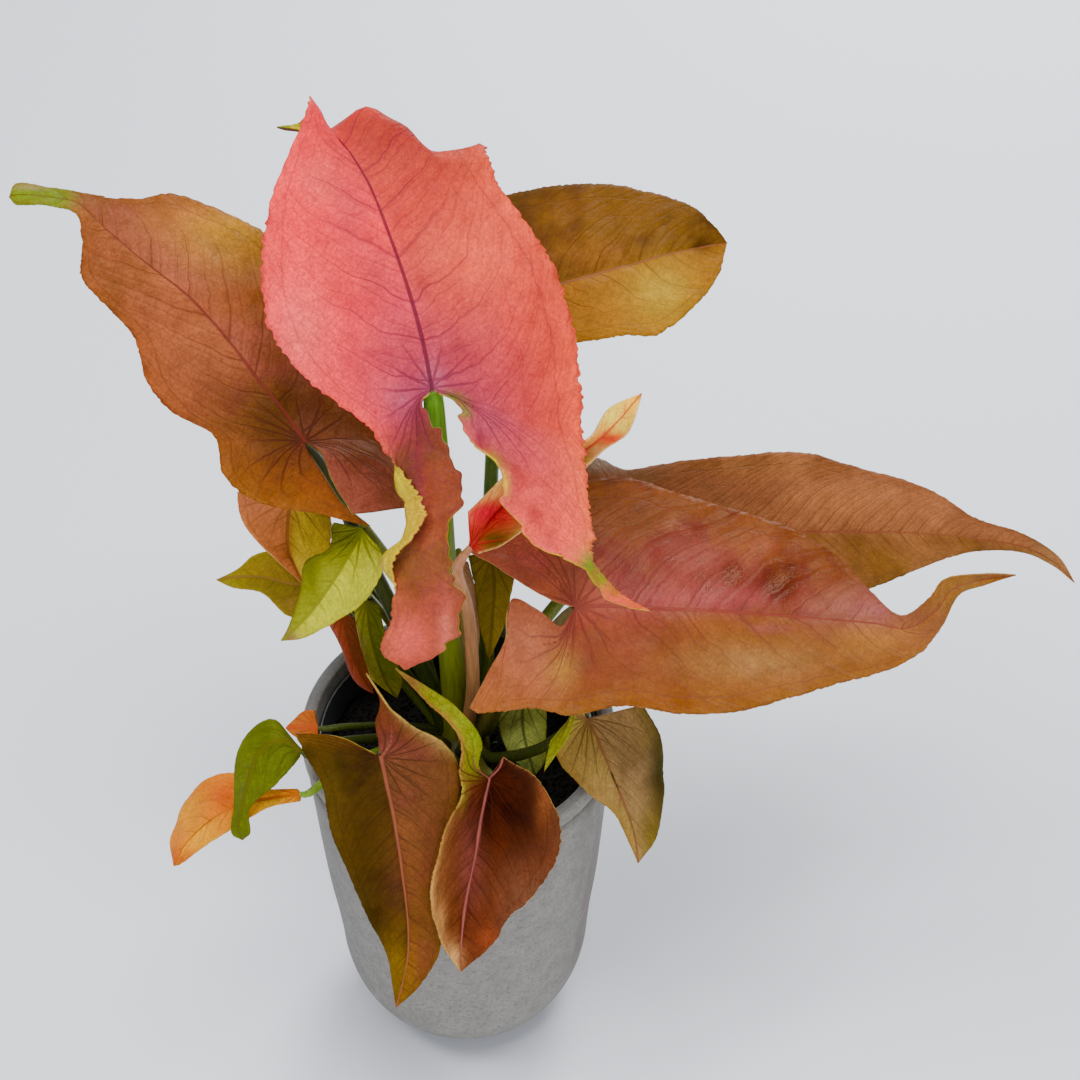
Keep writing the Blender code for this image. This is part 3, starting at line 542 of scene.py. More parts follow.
# How each blade is coloured. left and right are the halves' colours from the midrib outwards:
# near the junction, in the blade and at the edge, and the same for a lobe that differs from its
# half. blotch is a second colour in soft patches and how strong it is. dabs are single patches:
# x, y, half width and half height in view picks, the colour and how strong it is. Some dabs are
# painted shade and painted highlights, marked where they stand. under_dabs are the same on the
# lower face. wet are glossy patches with firm edges: x, y, their half sizes and the colour.
# gloss is the skin's roughness and shine its specular level. LOOK has what a blade doesn't set.
LOOK = dict(gloss=0.45, shine=0.1, dabs=(), under_dabs=(), wet=())
LOOKS = {
    "leaf_pink": dict(
        left=("A43652", "EE2C36", "F64242"), right=("A83650", "C8342A", "E65030"), under="BEA800",
        left_lobe=("6A3022", "5E3A10", "965028"), right_lobe=("B03A4C", "F65444", "F8683A"),
        blotch=("D8443C", 0.15), vein="6A1A38", midrib="561A2E", gloss=0.42,
        under_dabs=[(277, 127, 16, 12, "7E9A10", 1.0)],
        dabs=[
            (450, 399, 12, 7, "4A7A0C", 1.0), (464, 412, 7, 10, "4A7A0C", 1.0),
            (400, 168, 50, 26, "B4382A", 0.6), (432, 378, 9, 22, "C06A86", 0.7),
            (400, 400, 14, 14, "B8546C", 0.6), (482, 426, 20, 20, "A8485C", 0.6),
            # (480, 438) to (550, 538), over this line and the next two: painted shade along the
            # right lobe's fold
            (480, 438, 9, 12, "7E2038", 0.7), (497, 460, 8, 14, "861E30", 0.75),
            (515, 486, 8, 15, "8C2030", 0.7), (533, 513, 8, 15, "982A30", 0.65),
            (550, 538, 7, 13, "A0342E", 0.6), (498, 474, 16, 36, "B04C54", 0.5),
            # (419, 468): painted shade in the left lobe's fold. (440, 470) on the next line is a
            # browner patch that also paints that fold's shade, and (446, 625) is a painted
            # highlight on the lower lobe's roll
            (425, 415, 5, 12, "7E2A2A", 0.7), (419, 468, 8, 60, "6A2230", 0.85),
            (446, 625, 8, 34, "F07C68", 0.5), (440, 470, 26, 34, "6E3A1A", 0.6),
            (430, 560, 20, 40, "8E4A28", 0.5), (410, 640, 26, 26, "E0584A", 0.9),
            (440, 600, 20, 24, "A84438", 0.6), (488, 461, 9, 8, "D0B80A", 1.0),
            (502, 482, 6, 13, "D0B80A", 1.0), (589, 567, 15, 19, "5E7200", 1.0),
            (602, 579, 11, 11, "767A00", 1.0), (615, 589, 10, 10, "8E6400", 1.0),
            (638, 603, 22, 13, "B04400", 1.0), (410, 130, 74, 34, "8A2618", 0.85),
            (465, 158, 34, 22, "A83C1E", 0.7), (277, 127, 10, 9, "9AB04A", 0.9),
            (300, 330, 26, 50, "FF7A72", 0.4), (470, 250, 34, 50, "F05A38", 0.4),
            (400, 320, 24, 50, "C83C50", 0.5), (350, 215, 20, 40, "D03C4C", 0.6),
            # (462, 352) and (482, 334) on the next line: painted shade in a band that runs up from
            # the junction
            (425, 350, 40, 22, "C03850", 0.4), (462, 352, 20, 11, "8E2038", 0.6),
            (482, 334, 16, 10, "962A38", 0.5), (375, 270, 20, 24, "C43C48", 0.6),
            # (310, 255): a painted highlight, a lighter patch on the left half
            (480, 330, 22, 40, "C84040", 0.6), (310, 255, 18, 24, "FF4A48", 0.4),
            (430, 250, 20, 40, "DC5A44", 0.4), (320, 180, 20, 26, "FF7668", 0.3),
            (490, 240, 40, 60, "E85C40", 0.5),
        ],
    ),
    "leaf_copper": dict(
        left=("200401", "944E2C", "8A441A"), right=("300802", "8A4430", "864610"), under="6E8A2A",
        left_lobe=("5A2008", "8E4A12", "8E5216"), right_lobe=("7E3A2E", "82442E", "7A4628"),
        blotch=("6E4210", 0.45), vein="42120C", midrib="66241C",
        dabs=[
            (305, 420, 14, 14, "9A5050", 0.6), (340, 440, 30, 16, "A05A4A", 0.5),
            (250, 245, 60, 40, "B07E2A", 0.6), (180, 215, 50, 16, "9A5A1E", 0.5),
            (285, 408, 28, 24, "160100", 0.95), (200, 300, 60, 20, "94482A", 0.4),
            (24, 196, 38, 16, "5E7400", 1.0), (56, 198, 20, 16, "5E7400", 1.0),
            (250, 300, 40, 26, "7A3606", 0.5), (30, 188, 20, 3, "8A7A48", 0.7),
            (240, 232, 60, 22, "A87808", 0.7), (300, 372, 10, 50, "6E3A2A", 0.6),
            (290, 300, 16, 40, "5A3004", 0.5), (340, 350, 16, 40, "7A4418", 0.5),
            (300, 500, 30, 14, "8E5212", 0.5),
        ],
    ),
    "leaf_olive": dict(
        left=("522A08", "54320C", "3E2A06"), right=("8A5010", "A06812", "92600E"), under="A89A50",
        blotch=("8A5E18", 0.35), vein="4E2A0C", midrib="804E2C", gloss=0.5,
        dabs=[
            (660, 290, 30, 30, "AE9024", 0.8), (600, 205, 90, 22, "683A0C", 0.6),
            (600, 255, 50, 16, "94561E", 0.4), (698, 232, 38, 28, "361E02", 0.95),
        ],
    ),
    "leaf_rose": dict(
        left=("78242E", "621F08", "561C04"), right=("803028", "783C10", "7E4C0A"), under="A88A4A",
        left_lobe=("B04A38", "A84426", "A03C18"), right_lobe=("B05A44", "A8562C", "A05420"),
        wet=[
            (781, 581, 19, 26, "4E1402"), (795, 531, 10, 8, "5A1A04"), (734, 574, 12, 14, "601E0A"),
            (672, 524, 8, 3, "7E3A2A"), (684, 531, 6, 4, "7E3A2A"), (768, 628, 24, 5, "8A4440"),
            (706, 588, 7, 6, "7E3A34"),
        ],
        blotch=("8E5A1C", 0.3), vein="6E2C28", midrib="803028", gloss=0.36, shine=0.2,
        dabs=[
            (590, 606, 50, 22, "B04C30", 0.7), (690, 600, 110, 16, "A84A4C", 0.6),
            (860, 612, 50, 22, "8E4852", 0.8), (755, 662, 70, 20, "9A7240", 0.7),
            (760, 545, 14, 8, "8A4030", 0.6), (700, 560, 60, 24, "98483E", 0.5),
            (960, 590, 50, 26, "8E6412", 0.75), (640, 706, 100, 9, "7A3E06", 0.7),
            (560, 668, 16, 18, "B8862E", 0.7), (520, 640, 26, 30, "B86454", 0.6),
            (620, 490, 50, 12, "8E4410", 0.6), (640, 515, 44, 24, "5A2408", 0.6),
            (515, 560, 40, 26, "B04C4C", 0.8), (560, 500, 40, 20, "7E4410", 0.5),
            (870, 640, 50, 20, "A8742C", 0.5),
        ],
    ),
    "leaf_brown": dict(
        left=("6E3A1E", "824C2A", "6A381A"), right=("5E3A16", "70461A", "5E3E12"), under="A09070",
        blotch=("9A6038", 0.4), vein="5A2C18", midrib="7A3A24", gloss=0.38,
        dabs=[
            (610, 462, 40, 10, "84786A", 0.9), (640, 480, 20, 8, "5E4420", 0.6),
            (1050, 560, 26, 20, "9A7040", 0.6), (850, 500, 60, 20, "A86438", 0.5),
            (760, 465, 80, 10, "80501E", 0.6), (900, 560, 60, 16, "6E4A16", 0.5),
        ],
    ),
    "leaf_young": dict(
        left=("D82028", "F0A840", "F8C060"), right=("F03438", "84701E", "C89A48"), under="ECC074",
        vein="C01428", midrib="C83434", gloss=0.4,
        dabs=[
            (486, 492, 24, 9, "F0B458", 0.95), (486, 512, 28, 13, "D0002C", 1.0),
            (470, 538, 10, 14, "B00012", 1.0), (494, 540, 20, 12, "4E5206", 1.0),
            (612, 414, 18, 22, "FFE04A", 1.0), (634, 402, 14, 16, "FFC428", 1.0),
            (612, 440, 16, 7, "D80010", 0.9), (598, 452, 12, 8, "C8905A", 0.8),
        ],
    ),
    "leaf_hanging": dict(
        left=("743A2C", "6E3A1C", "603A12"), right=("241602", "201200", "2C2200"), under="B8A040",
        left_lobe=("6A2C1E", "6E3018", "C8A458"), right_lobe=("54340A", "5E3A0C", "7A5418"),
        blotch=("64460A", 0.35), vein="3E220E", midrib="8B4B37", shine=0.04,
        dabs=[
            (395, 975, 18, 46, "7E5E00", 0.8), (388, 745, 8, 10, "84403A", 0.6),
            (330, 800, 14, 50, "4E420A", 0.5), (400, 860, 16, 60, "84442C", 0.3),
        ],
    ),
    "leaf_cupped": dict(
        left=("1E0401", "5E2C16", "5E341E"), right=("6A2C14", "743C1C", "9A6430"), under="A88838",
        right_lobe=("7E9010", "8E9A14", "A0702E"),
        blotch=("6A2A0A", 0.3), vein="3A1208", midrib="98504A", shine=0.05,
        dabs=[
            (488, 936, 10, 14, "8E4020", 0.7), (452, 957, 10, 14, "E8B068", 0.95),
            (430, 850, 4, 60, "E0A050", 0.9), (424, 905, 6, 24, "E0B070", 0.8),
            (440, 930, 6, 26, "CC9450", 0.8), (508, 808, 40, 40, "120100", 0.9),
            (520, 890, 30, 24, "6A402A", 0.8), (410, 680, 22, 14, "8A5030", 0.8),
            (470, 866, 11, 44, "8E4640", 0.6), (460, 790, 6, 16, "8E8A1C", 0.7),
            (545, 800, 8, 26, "B0602E", 0.4),
        ],
    ),
    "leaf_folded": dict(
        left=("94704A", "A07C48", "5A4A08"), right=("9C7E42", "A07E3E", "8C682C"), under="98A022",
        right_lobe=("A4A60C", "A0A40A", "D0880E"),
        blotch=("7A631D", 0.3), vein="5A3C1E", midrib="7A4A2E", gloss=0.42,
        dabs=[
            (660, 770, 13, 64, "3E3600", 1.0), (652, 840, 9, 26, "6A5A10", 0.9),
            (548, 768, 8, 9, "D8822C", 0.9), (600, 790, 20, 14, "A07A48", 0.5),
            (622, 760, 5, 40, "6A4A26", 0.4),
        ],
    ),
    "leaf_orange": dict(
        left=("E0A000", "DA9000", "D09A08"), right=("EA9E04", "DC7C00", "E49000"), under="B87A14",
        blotch=("D04E08", 0.35), vein="A03E08", midrib="B4560A",
        dabs=[
            (228, 798, 16, 14, "C83A0C", 0.85), (186, 860, 26, 8, "A04A18", 0.7),
            (262, 800, 26, 10, "E8B010", 0.8), (188, 815, 18, 22, "F0B000", 0.85),
        ],
    ),
    "leaf_lime": dict(
        left=("6E7A0A", "66720A", "7A7A14"), right=("6A2616", "6A5A0C", "7A3620"), under="566006",
        vein="464404", midrib="535006",
        dabs=[(285, 775, 18, 20, "672817", 0.8), (242, 830, 12, 12, "755A1F", 0.6)],
    ),
    "leaf_tab": dict(
        left=("C85014", "C45014", "B84A16"), right=("C85014", "C45014", "B84A16"), under="B06020",
        vein="AE4618", midrib="AE4618", gloss=0.5,
    ),
    "leaf_pale": dict(
        # Its darker right half, and the dark dab at (312, 575), are painted shade over the folded
        # edge
        left=("AEAC18", "B4B41C", "A4A01E"), right=("7E7E10", "84860E", "5E5410"), under="A8A448",
        vein="5E6410", midrib="727414", gloss=0.5,
        dabs=[
            (289, 637, 13, 8, "7E6038", 1.0), (312, 575, 8, 26, "4E5008", 0.7),
            (330, 540, 12, 20, "8A8A18", 0.5), (372, 560, 12, 20, "C8C43C", 0.5),
        ],
    ),
    "leaf_blush": dict(
        left=("CCAA24", "CCAE2A", "B8921E"), right=("BC6838", "C06C34", "CA763E"), under="A8984A",
        vein="7A4A1E", midrib="8A4A26",
        dabs=[(292, 530, 4, 30, "7A3A18", 0.6), (250, 500, 20, 20, "B8624A", 0.4)],
    ),
    "leaf_pointed": dict(
        left=("746008", "7E6A0C", "8A7A16"), right=("866810", "8E7810", "9A8A1A"), under="9A9440",
        vein="5E4E0E", midrib="846225",
        dabs=[(225, 579, 16, 12, "9A9018", 0.6), (300, 605, 20, 10, "84582A", 0.5)],
    ),
    "leaf_strip": dict(
        left=("6E3414", "7E3C16", "6E3210"), right=("8C3917", "964026", "B45A50"), under="A87A4A",
        vein="6A2E12", midrib="6A2E12",
    ),
    "leaf_sheath": dict(
        left=("5E6406", "626A08", "7A7A10"), right=("7A7808", "827E0A", "C0B040"), under="7A7A20",
        vein="4A4C04", midrib="525004", dabs=[(395, 690, 16, 10, "9A8A18", 0.6)],
    ),
    "leaf_narrow": dict(
        left=("A87A58", "A87650", "94703E"), right=("B08A54", "B08A50", "A8A02C"), under="B09A70",
        vein="8A5A3A", midrib="9A6A4A", dabs=[(470, 680, 12, 20, "8A5038", 0.6)],
    ),
    "leaf_shaded": dict(
        left=("7C6602", "786202", "8A7204"), right=("725C02", "6E5A02", "725C02"), under="6A6420",
        vein="534304", midrib="534304",
    ),
    "leaf_grey": dict(
        left=("A0A84A", "A4AC4C", "8E9638"), right=("A0A850", "A4AC54", "8E963C"), under="7A7E50",
        vein="4A5628", midrib="4A5628", dabs=[(524, 765, 14, 12, "6E7A34", 0.6)],
    ),
}

# How each blade's surface is worked: how far its edge waves and how long a wave is, how deep
# its edge is nicked, the depth and length of the scallops at a lobe's inner edge, and the
# spacing of its side veins, in millimetres. SURFACE has what a blade doesn't set.
SURFACES = {
    "leaf_pink": dict(wave=0.7, length=11.0, nick=0.9, veins=13.0, scallop=(2.8, 2.5)),
    "leaf_copper": dict(wave=0.5, length=14.0, nick=0.4, veins=15.0),
    "leaf_olive": dict(wave=0.4, length=16.0, nick=0.4, veins=13.0),
    "leaf_rose": dict(wave=0.5, length=18.0, nick=0.3, veins=16.0),
    "leaf_brown": dict(wave=0.4, length=18.0, nick=0.3, veins=6.0),
    "leaf_cupped": dict(nick=0.45),
}
SURFACE = dict(wave=0.3, length=12.0, nick=0.2, veins=8.0, scallop=(0.3, 3.0))

# The stem cluster's colour, and those of each stalk's foot and head, where STALK_TONE is for the
# stalks that have none of their own
CLUSTER_TONE = "3A3A12"
STALK_TONE = ("3E4A10", "6A6E22")
STALK_TONES = {
    "leaf_young": ("8A6238", "A8704E"),
    "leaf_pink": ("6A6C18", "568410"),
    "leaf_copper": ("2E3A0A", "3E3A0E"),
    "leaf_olive": ("3E4A10", "4E6A1E"),
    "leaf_rose": ("4A4A14", "7A6A3A"),
    "leaf_orange": ("2E3A0C", "6E8A24"),
    "leaf_lime": ("1E2408", "3A4210"),
    "leaf_tab": ("1E2408", "3A4210"),
    "leaf_folded": ("262C08", "3A4010"),
    "leaf_hanging": ("262608", "4A3A14"),
    "leaf_cupped": ("262C08", "4A4A12"),
}


def nursery_radius(height):
    """Outer radius of the nursery pot at a height."""
    share = (height - POT_FLOOR) / (NURSERY_TOP - POT_FLOOR)
    return NURSERY_FOOT_RADIUS + (NURSERY_TOP_RADIUS - NURSERY_FOOT_RADIUS) * share


def linear(code):
    """An sRGB hex colour as linear red, green and blue."""
    values = np.array([int(code[i : i + 2], 16) / 255.0 for i in (0, 2, 4)])
    return np.where(values <= 0.04045, values / 12.92, ((values + 0.055) / 1.055) ** 2.4)


def opaque_of(colour):
    """A linear colour with full opacity."""
    return (*colour, 1.0)


def opaque(code):
    """An sRGB hex colour as a linear one with full opacity."""
    return opaque_of(linear(code))


def look_of(name):
    """All that LOOKS says of a blade, with the defaults."""
    return dict(LOOK, **LOOKS[name])


def surface_of(name):
    """All that SURFACES says of a blade, with the defaults."""
    return dict(SURFACE, **SURFACES.get(name, {}))


def view_ray(x, y):
    """The direction in which a place of the view is seen."""
    return AHEAD * VIEW_REACH + ASIDE * (x - VIEW_MIDDLE) + ABOVE * (VIEW_MIDDLE - y)


def seen_at(points):
    """Where points stand in the square view of the picks."""
    offset = points - EYE
    depth = offset @ AHEAD
    x = VIEW_MIDDLE + VIEW_REACH * (offset @ ASIDE) / depth
    return x, VIEW_MIDDLE - VIEW_REACH * (offset @ ABOVE) / depth


def blade_normal(blade):
    """The direction in which a blade's plane looks."""
    slope = math.radians(blade["slope"])
    downhill = math.radians(blade["downhill"])
    across = math.sin(slope)
    return np.array((across * math.cos(downhill), across * math.sin(downhill), math.cos(slope)))


def place_pick(blade, pick):
    """The point of a pick, on the blade's plane raised by the pick's lift."""
    normal = blade_normal(blade)
    x, y, _ = blade["midrib"][0]
    ray = view_ray(x, y)
    base = EYE + ray * ((blade["height"] - EYE[2]) / ray[2]) + normal * pick[2]
    ray = view_ray(pick[0], pick[1])
    return EYE + ray * (((base - EYE) @ normal) / (ray @ normal))


def smooth_through(points, steps, before=None):
    """Smooth line, or smooth set of lines, through points, with steps samples in each span.

    It starts as if it came from before, where that is given.
    """
    points = np.asarray(points, float)
    first = 2.0 * points[0] - points[1] if before is None else before
    last = 2.0 * points[-1] - points[-2]
    chain = np.concatenate([first[None], points, last[None]])
    samples = []
    for span in range(len(points) - 1):
        p0, p1, p2, p3 = chain[span : span + 4]
        for step in range(steps):
            u = step / steps
            bend = (2.0 * p0 - 5.0 * p1 + 4.0 * p2 - p3) * u * u
            twist = (3.0 * p1 - p0 - 3.0 * p2 + p3) * u**3
            samples.append(0.5 * (2.0 * p1 + (p2 - p0) * u + bend + twist))
    samples.append(points[-1])
    return np.array(samples)


def even_rib(points, rows):
    """The smooth line through a rib's points, cut into rows of even length."""
    if len(points) == 1:
        return np.repeat(np.asarray(points, float), rows + 1, axis=0)
    fine = smooth_through(points, RIB_FINENESS)
    run = np.concatenate([[0.0], np.cumsum(np.linalg.norm(np.diff(fine, axis=0), axis=1))])
    goals = np.linspace(0.0, run[-1], rows + 1)
    return np.stack([np.interp(goals, run, fine[:, axis]) for axis in range(3)], axis=1)


def run_along(patch):
    """Length in mm from the first column, measured a third of the way out to the edge."""
    line = patch[:, patch.shape[1] // 3]
    return np.concatenate([[0.0], np.cumsum(np.linalg.norm(np.diff(line, axis=0), axis=1))])


def blade_patches(blade, rows, steps):
    """Halves and lobes as grids of points, with how far along and how far out each point is.

    A lobe starts in the direction in which its half ends, so the two join smoothly.
    """
    patches = []
    for side in ("left", "right"):
        ribs = []
        for stem_pick, margin in zip(blade["midrib"], list(blade[side]) + [()]):
            outer = margin if margin and isinstance(margin[0], tuple) else (margin,)
            picks = [stem_pick] + [pick for pick in outer if pick]
            ribs.append(even_rib([place_pick(blade, pick) for pick in picks], rows))
        lobe = blade.get(side + "_lobe")
        out = np.linspace(0.0, 1.0, rows + 1)
        share = out[:, None]
        before = None
        if lobe:
            lobe_ribs = [ribs[0]]
            lobe_ribs += [even_rib([place_pick(blade, pick) for pick in rib], rows) for rib in lobe]
            before = share * lobe_ribs[1] + (1.0 - share) * (2.0 * ribs[0] - ribs[1])
            behind = share * ribs[1] + (1.0 - share) * (2.0 * ribs[0] - lobe_ribs[1])
            grid = smooth_through(lobe_ribs, steps, behind)
            patches.append((side, True, grid, -run_along(grid), out))
        grid = smooth_through(ribs, steps, before)
        patches.append((side, False, grid, run_along(grid), out))
    return patches


def irregular(place, seed):
    """A smooth irregular wave between -1 and 1 along a length."""
    return np.array([noise.noise(Vector((value, seed, SEED_SPREAD * seed))) for value in place])


def blend(low, high, share):
    """A colour between two others, at each point."""
    return low + (high - low) * np.clip(share, 0.0, 1.0)[..., None]


def dabbed(colour, spots, dabs):
    """Soft single patches over a colour, at their places in the view of the picks, among them
    painted shade and painted highlights.
    """
    x, y = spots
    for cx, cy, wide, high, code, strength in dabs:
        share = strength * np.exp(-(((x - cx) / wide) ** 2) - ((y - cy) / high) ** 2)
        colour = blend(colour, linear(code), share)
    return colour


def wetted(colour, spots, drops):
    """Wet patches over a colour, and how dry each point is as a fourth value."""
    x, y = spots
    wet = np.zeros_like(x)
    for cx, cy, wide, high, code in drops:
        off = np.hypot((x - cx) / wide, (y - cy) / high)
        share = np.clip(WET_CORE - WET_FALL * off, 0.0, 1.0)
        colour = blend(colour, linear(code), WET_TINT * share)
        wet = np.maximum(wet, share)
    return np.concatenate([colour, 1.0 - wet[..., None]], axis=-1)


def tone_of(look, side, in_lobe, along, out, distance, spots):
    """The colour of each point of a patch: junction, blade and edge colours, then the dabs."""
    heart = np.exp(-((np.hypot(along, distance) / HEART_REACH) ** 2))
    rim = out**RIM_POWER

    def toned(codes):
        near, middle, edge = (linear(code) for code in codes)
        return blend(blend(middle, near, heart), edge, rim)

    colour = toned(look[side])
    if in_lobe:
        lobed = toned(look.get(side + "_lobe", look[side]))
        colour = blend(colour, lobed, -along / LOBE_BLEND)
    return wetted(dabbed(colour, spots, look["dabs"]), spots, look["wet"])


def blade_sheet(name, rows, steps):
    """The blade as one sheet: points, how far each is raised and pushed out, colours and quads.

    The quads have the raw points' numbers, as the vein coordinates do. Where patches meet, their
    raw points are joined in one.
    """
    blade, look, surface = BLADES[name], look_of(name), surface_of(name)
    seed = 1.0 + SEEDS["blade"] * sorted(BLADES).index(name)
    points, lifts, reaches, tones, veins, quads = [], [], [], [], [], []
    count = 0
    for side, in_lobe, grid, run, out in blade_patches(blade, rows, steps):
        columns = len(grid)
        outward = grid[:, -1] - grid[:, 0]
        width = np.linalg.norm(outward, axis=1)
        outward = outward / np.maximum(width, 0.001)[:, None]
        slim = np.clip(width / SLIM_WIDTH, 0.0, 1.0)
        into_lobe = np.clip(-run / LOBE_REACH, 0.0, 1.0)
        centre = LOBE_MIDDLE * into_lobe
        seed_here = seed + SEEDS[side]
        wave = irregular(run / surface["length"] * WAVE_TURNS, seed_here) * surface["wave"] * slim
        fine = irregular(run / NICK_LENGTH * FINE_NICK_TURNS, seed_here + SEEDS["fine_nick"])
        nick = irregular(run / NICK_LENGTH, seed_here + SEEDS["nick"]) + FINE_NICK * fine
        along = np.repeat(run[:, None], rows + 1, axis=1)
        across = np.repeat(out[None, :], columns, axis=0)
        out_share = np.abs(across - centre[:, None]) / np.maximum(1.0 - centre, centre)[:, None]
        distance = np.abs(across - centre[:, None]) * width[:, None] + LOBE_FAINT * centre[:, None]
        forward = -1.0 if in_lobe else 1.0
        flow = along - forward * distance * (VEIN_LEAN + VEIN_SWEEP * out_share**2)
        flat = grid.reshape(-1, 3)
        crumple = np.array([noise.noise(Vector(point / CRUMPLE_LENGTH)) for point in flat])
        lift = wave[:, None] * across**2
        lift += CRUMPLE * crumple.reshape(columns, rows + 1) * slim[:, None]
        lift -= MIDRIB_SINK * np.exp(-((distance / VEIN_BREADTH) ** 2)) * slim[:, None]
        outer = across[:, :, None] ** EDGE_POWER
        reach = outward[:, None, :] * (nick * surface["nick"] * slim)[:, None, None] * outer
        if in_lobe:
            depth, length = surface["scallop"]
            scallop = irregular(run / length, seed_here + SEEDS["scallop"]) * depth
            inner = (1.0 - across[:, :, None]) ** EDGE_POWER * into_lobe[:, None, None]
            reach -= outward[:, None, :] * (scallop * slim)[:, None, None] * inner
        spots = tuple(value.reshape(columns, rows + 1) for value in seen_at(flat))
        tone = tone_of(look, side, in_lobe, along, across, distance, spots)
        points.append(flat)
        lifts.append(lift.ravel())
        reaches.append(reach.reshape(-1, 3))
        tones.append(tone.reshape(-1, 4))
        chart = np.stack([along, distance, flow, out_share * VEIN_SCALE], axis=2)
        veins.append(chart.reshape(-1, 4))
        numbers = count + np.arange(columns * (rows + 1)).reshape(columns, rows + 1)
        corners = [numbers[:-1, :-1], numbers[:-1, 1:], numbers[1:, 1:], numbers[1:, :-1]]
        if (side == "left") != in_lobe:  # the faces of these patches would look down
            corners.reverse()
        quads.append(np.stack([corner.ravel() for corner in corners], axis=1))
        count += columns * (rows + 1)
    points = np.concatenate(points)
    keys = np.round(points, 3)
    _, first, joined = np.unique(keys, axis=0, return_index=True, return_inverse=True)
    joined = joined.ravel()
    shared = np.bincount(joined)

    def averaged(values):
        values = np.concatenate(values)
        if values.ndim == 1:
            return np.bincount(joined, values) / shared
        return np.stack([np.bincount(joined, column) / shared for column in values.T], axis=1)

    return dict(
        points=points[first], lift=averaged(lifts), reach=averaged(reaches), tone=averaged(tones),
        veins=np.concatenate(veins), quads=np.concatenate(quads), joined=joined,
    )


def face_list(sheet):
    """The sheet's faces with joined points, each with its corners' raw numbers."""
    faces = []
    for raw in sheet["quads"]:
        face, corners = [], []
        for number in raw:
            point = sheet["joined"][number]
            if point not in face:
                face.append(int(point))
                corners.append(int(number))
        if len(face) > 2:
            faces.append((face, corners))
    return faces


def point_normals(points, faces):
    """The direction in which the surface looks at each point."""
    normals = np.zeros_like(points)
    for face, _ in faces:
        corners = points[face]
        around = np.roll(corners, -1, axis=0)
        normals[face] += np.cross(corners, around).sum(axis=0)
    return normals / np.maximum(np.linalg.norm(normals, axis=1, keepdims=True), 1e-9)


def added(name, data):
    """A new object of that name and data in the scene."""
    thing = bpy.data.objects.new(name, data)
    bpy.context.scene.collection.objects.link(thing)
    return thing


def finished(piece, node):
    """Hides the frame's part for that node, and hangs the piece on the body."""
    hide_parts(node)
    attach(piece, "root")


def new_piece(name, points, faces, material, tones=None, veins=None):
    """A smooth mesh object from points in mm, with its colours and vein coordinates."""
    mesh = bpy.data.meshes.new(name)
    mesh.from_pydata((np.asarray(points) * MM).tolist(), [], faces)
    if tones is not None:
        tone = mesh.color_attributes.new("tone", "FLOAT_COLOR", "POINT")
        tone.data.foreach_set("color", tones.ravel())
    if veins is not None:
        veins = np.asarray(veins)
        for label, values in (("veins", veins[:, :2]), ("flow", veins[:, 2:])):
            mesh.uv_layers.new(name=label).data.foreach_set("uv", values.ravel())
    mesh.polygons.foreach_set("use_smooth", [True] * len(mesh.polygons))
    mesh.update()
    piece = added(name, mesh)
    mesh.materials.append(material)
    return piece


def make_blade(name, rows, steps, thickness):
    """A blade as a closed solid: upper face, lower face with its raised midrib, and the edge."""
    sheet = blade_sheet(name, rows, steps)
    faces = face_list(sheet)
    normals = point_normals(sheet["points"], faces)
    middle = sheet["points"] + normals * sheet["lift"][:, None] + sheet["reach"]
    normals = point_normals(middle, faces)
    upper = middle + normals * (thickness / 2.0)
    lower = middle - normals * (thickness / 2.0)
    count = len(middle)
    edges = {}
    for face, corners in faces:
        for near, far in zip(range(len(face)), list(range(1, len(face))) + [0]):
            edges[(face[near], face[far])] = (corners[near], corners[far])
    rim = [(edge, raw) for edge, raw in edges.items() if (edge[1], edge[0]) not in edges]
    solid, veins = [], []
    coordinates = sheet["veins"] / VEIN_SCALE
    for face, corners in faces:
        solid.append(face)
        veins.extend(coordinates[corners])
    for face, corners in faces:
        solid.append([point + count for point in reversed(face)])
        veins.extend(coordinates[corners[::-1]])
    for (near, far), (raw_near, raw_far) in rim:
        solid.append([far, near, near + count, far + count])
        veins.extend(coordinates[[raw_far, raw_near, raw_near, raw_far]])
    look = look_of(name)
    under = np.repeat(linear(look["under"])[None], count, axis=0)
    spots = seen_at(sheet["points"])
    under = wetted(dabbed(under, spots, look["under_dabs"]), spots, ())
    piece = new_piece(
        name.replace("leaf_", "blade_"), np.concatenate([upper, lower]), solid,
        leaf_material(name), np.concatenate([sheet["tone"], under]), veins,
    )
    finished(piece, name)


def stalk_line(name, stalk):
    """A stalk's middle line, from inside the stem cluster to the blade's junction."""
    blade = BLADES[name]
    junction = place_pick(blade, blade["midrib"][0])
    if stalk.get("from_edge"):
        toward = place_pick(blade, blade["midrib"][1]) - junction
        toward = toward / np.linalg.norm(toward)
    else:
        toward = blade_normal(blade)
    x, y = stalk["foot"]
    points = [(x, y, SOIL_TOP - FOOT_SINK), (x, y, SOIL_TOP + FOOT_RISE)]
    short = 0.0 if stalk.get("from_edge") else STALK_SHORT
    points += list(stalk["way"]) + [junction - toward * STALK_TURN, junction - toward * short]
    return even_rib(np.array(points, float), STALK_SAMPLES)


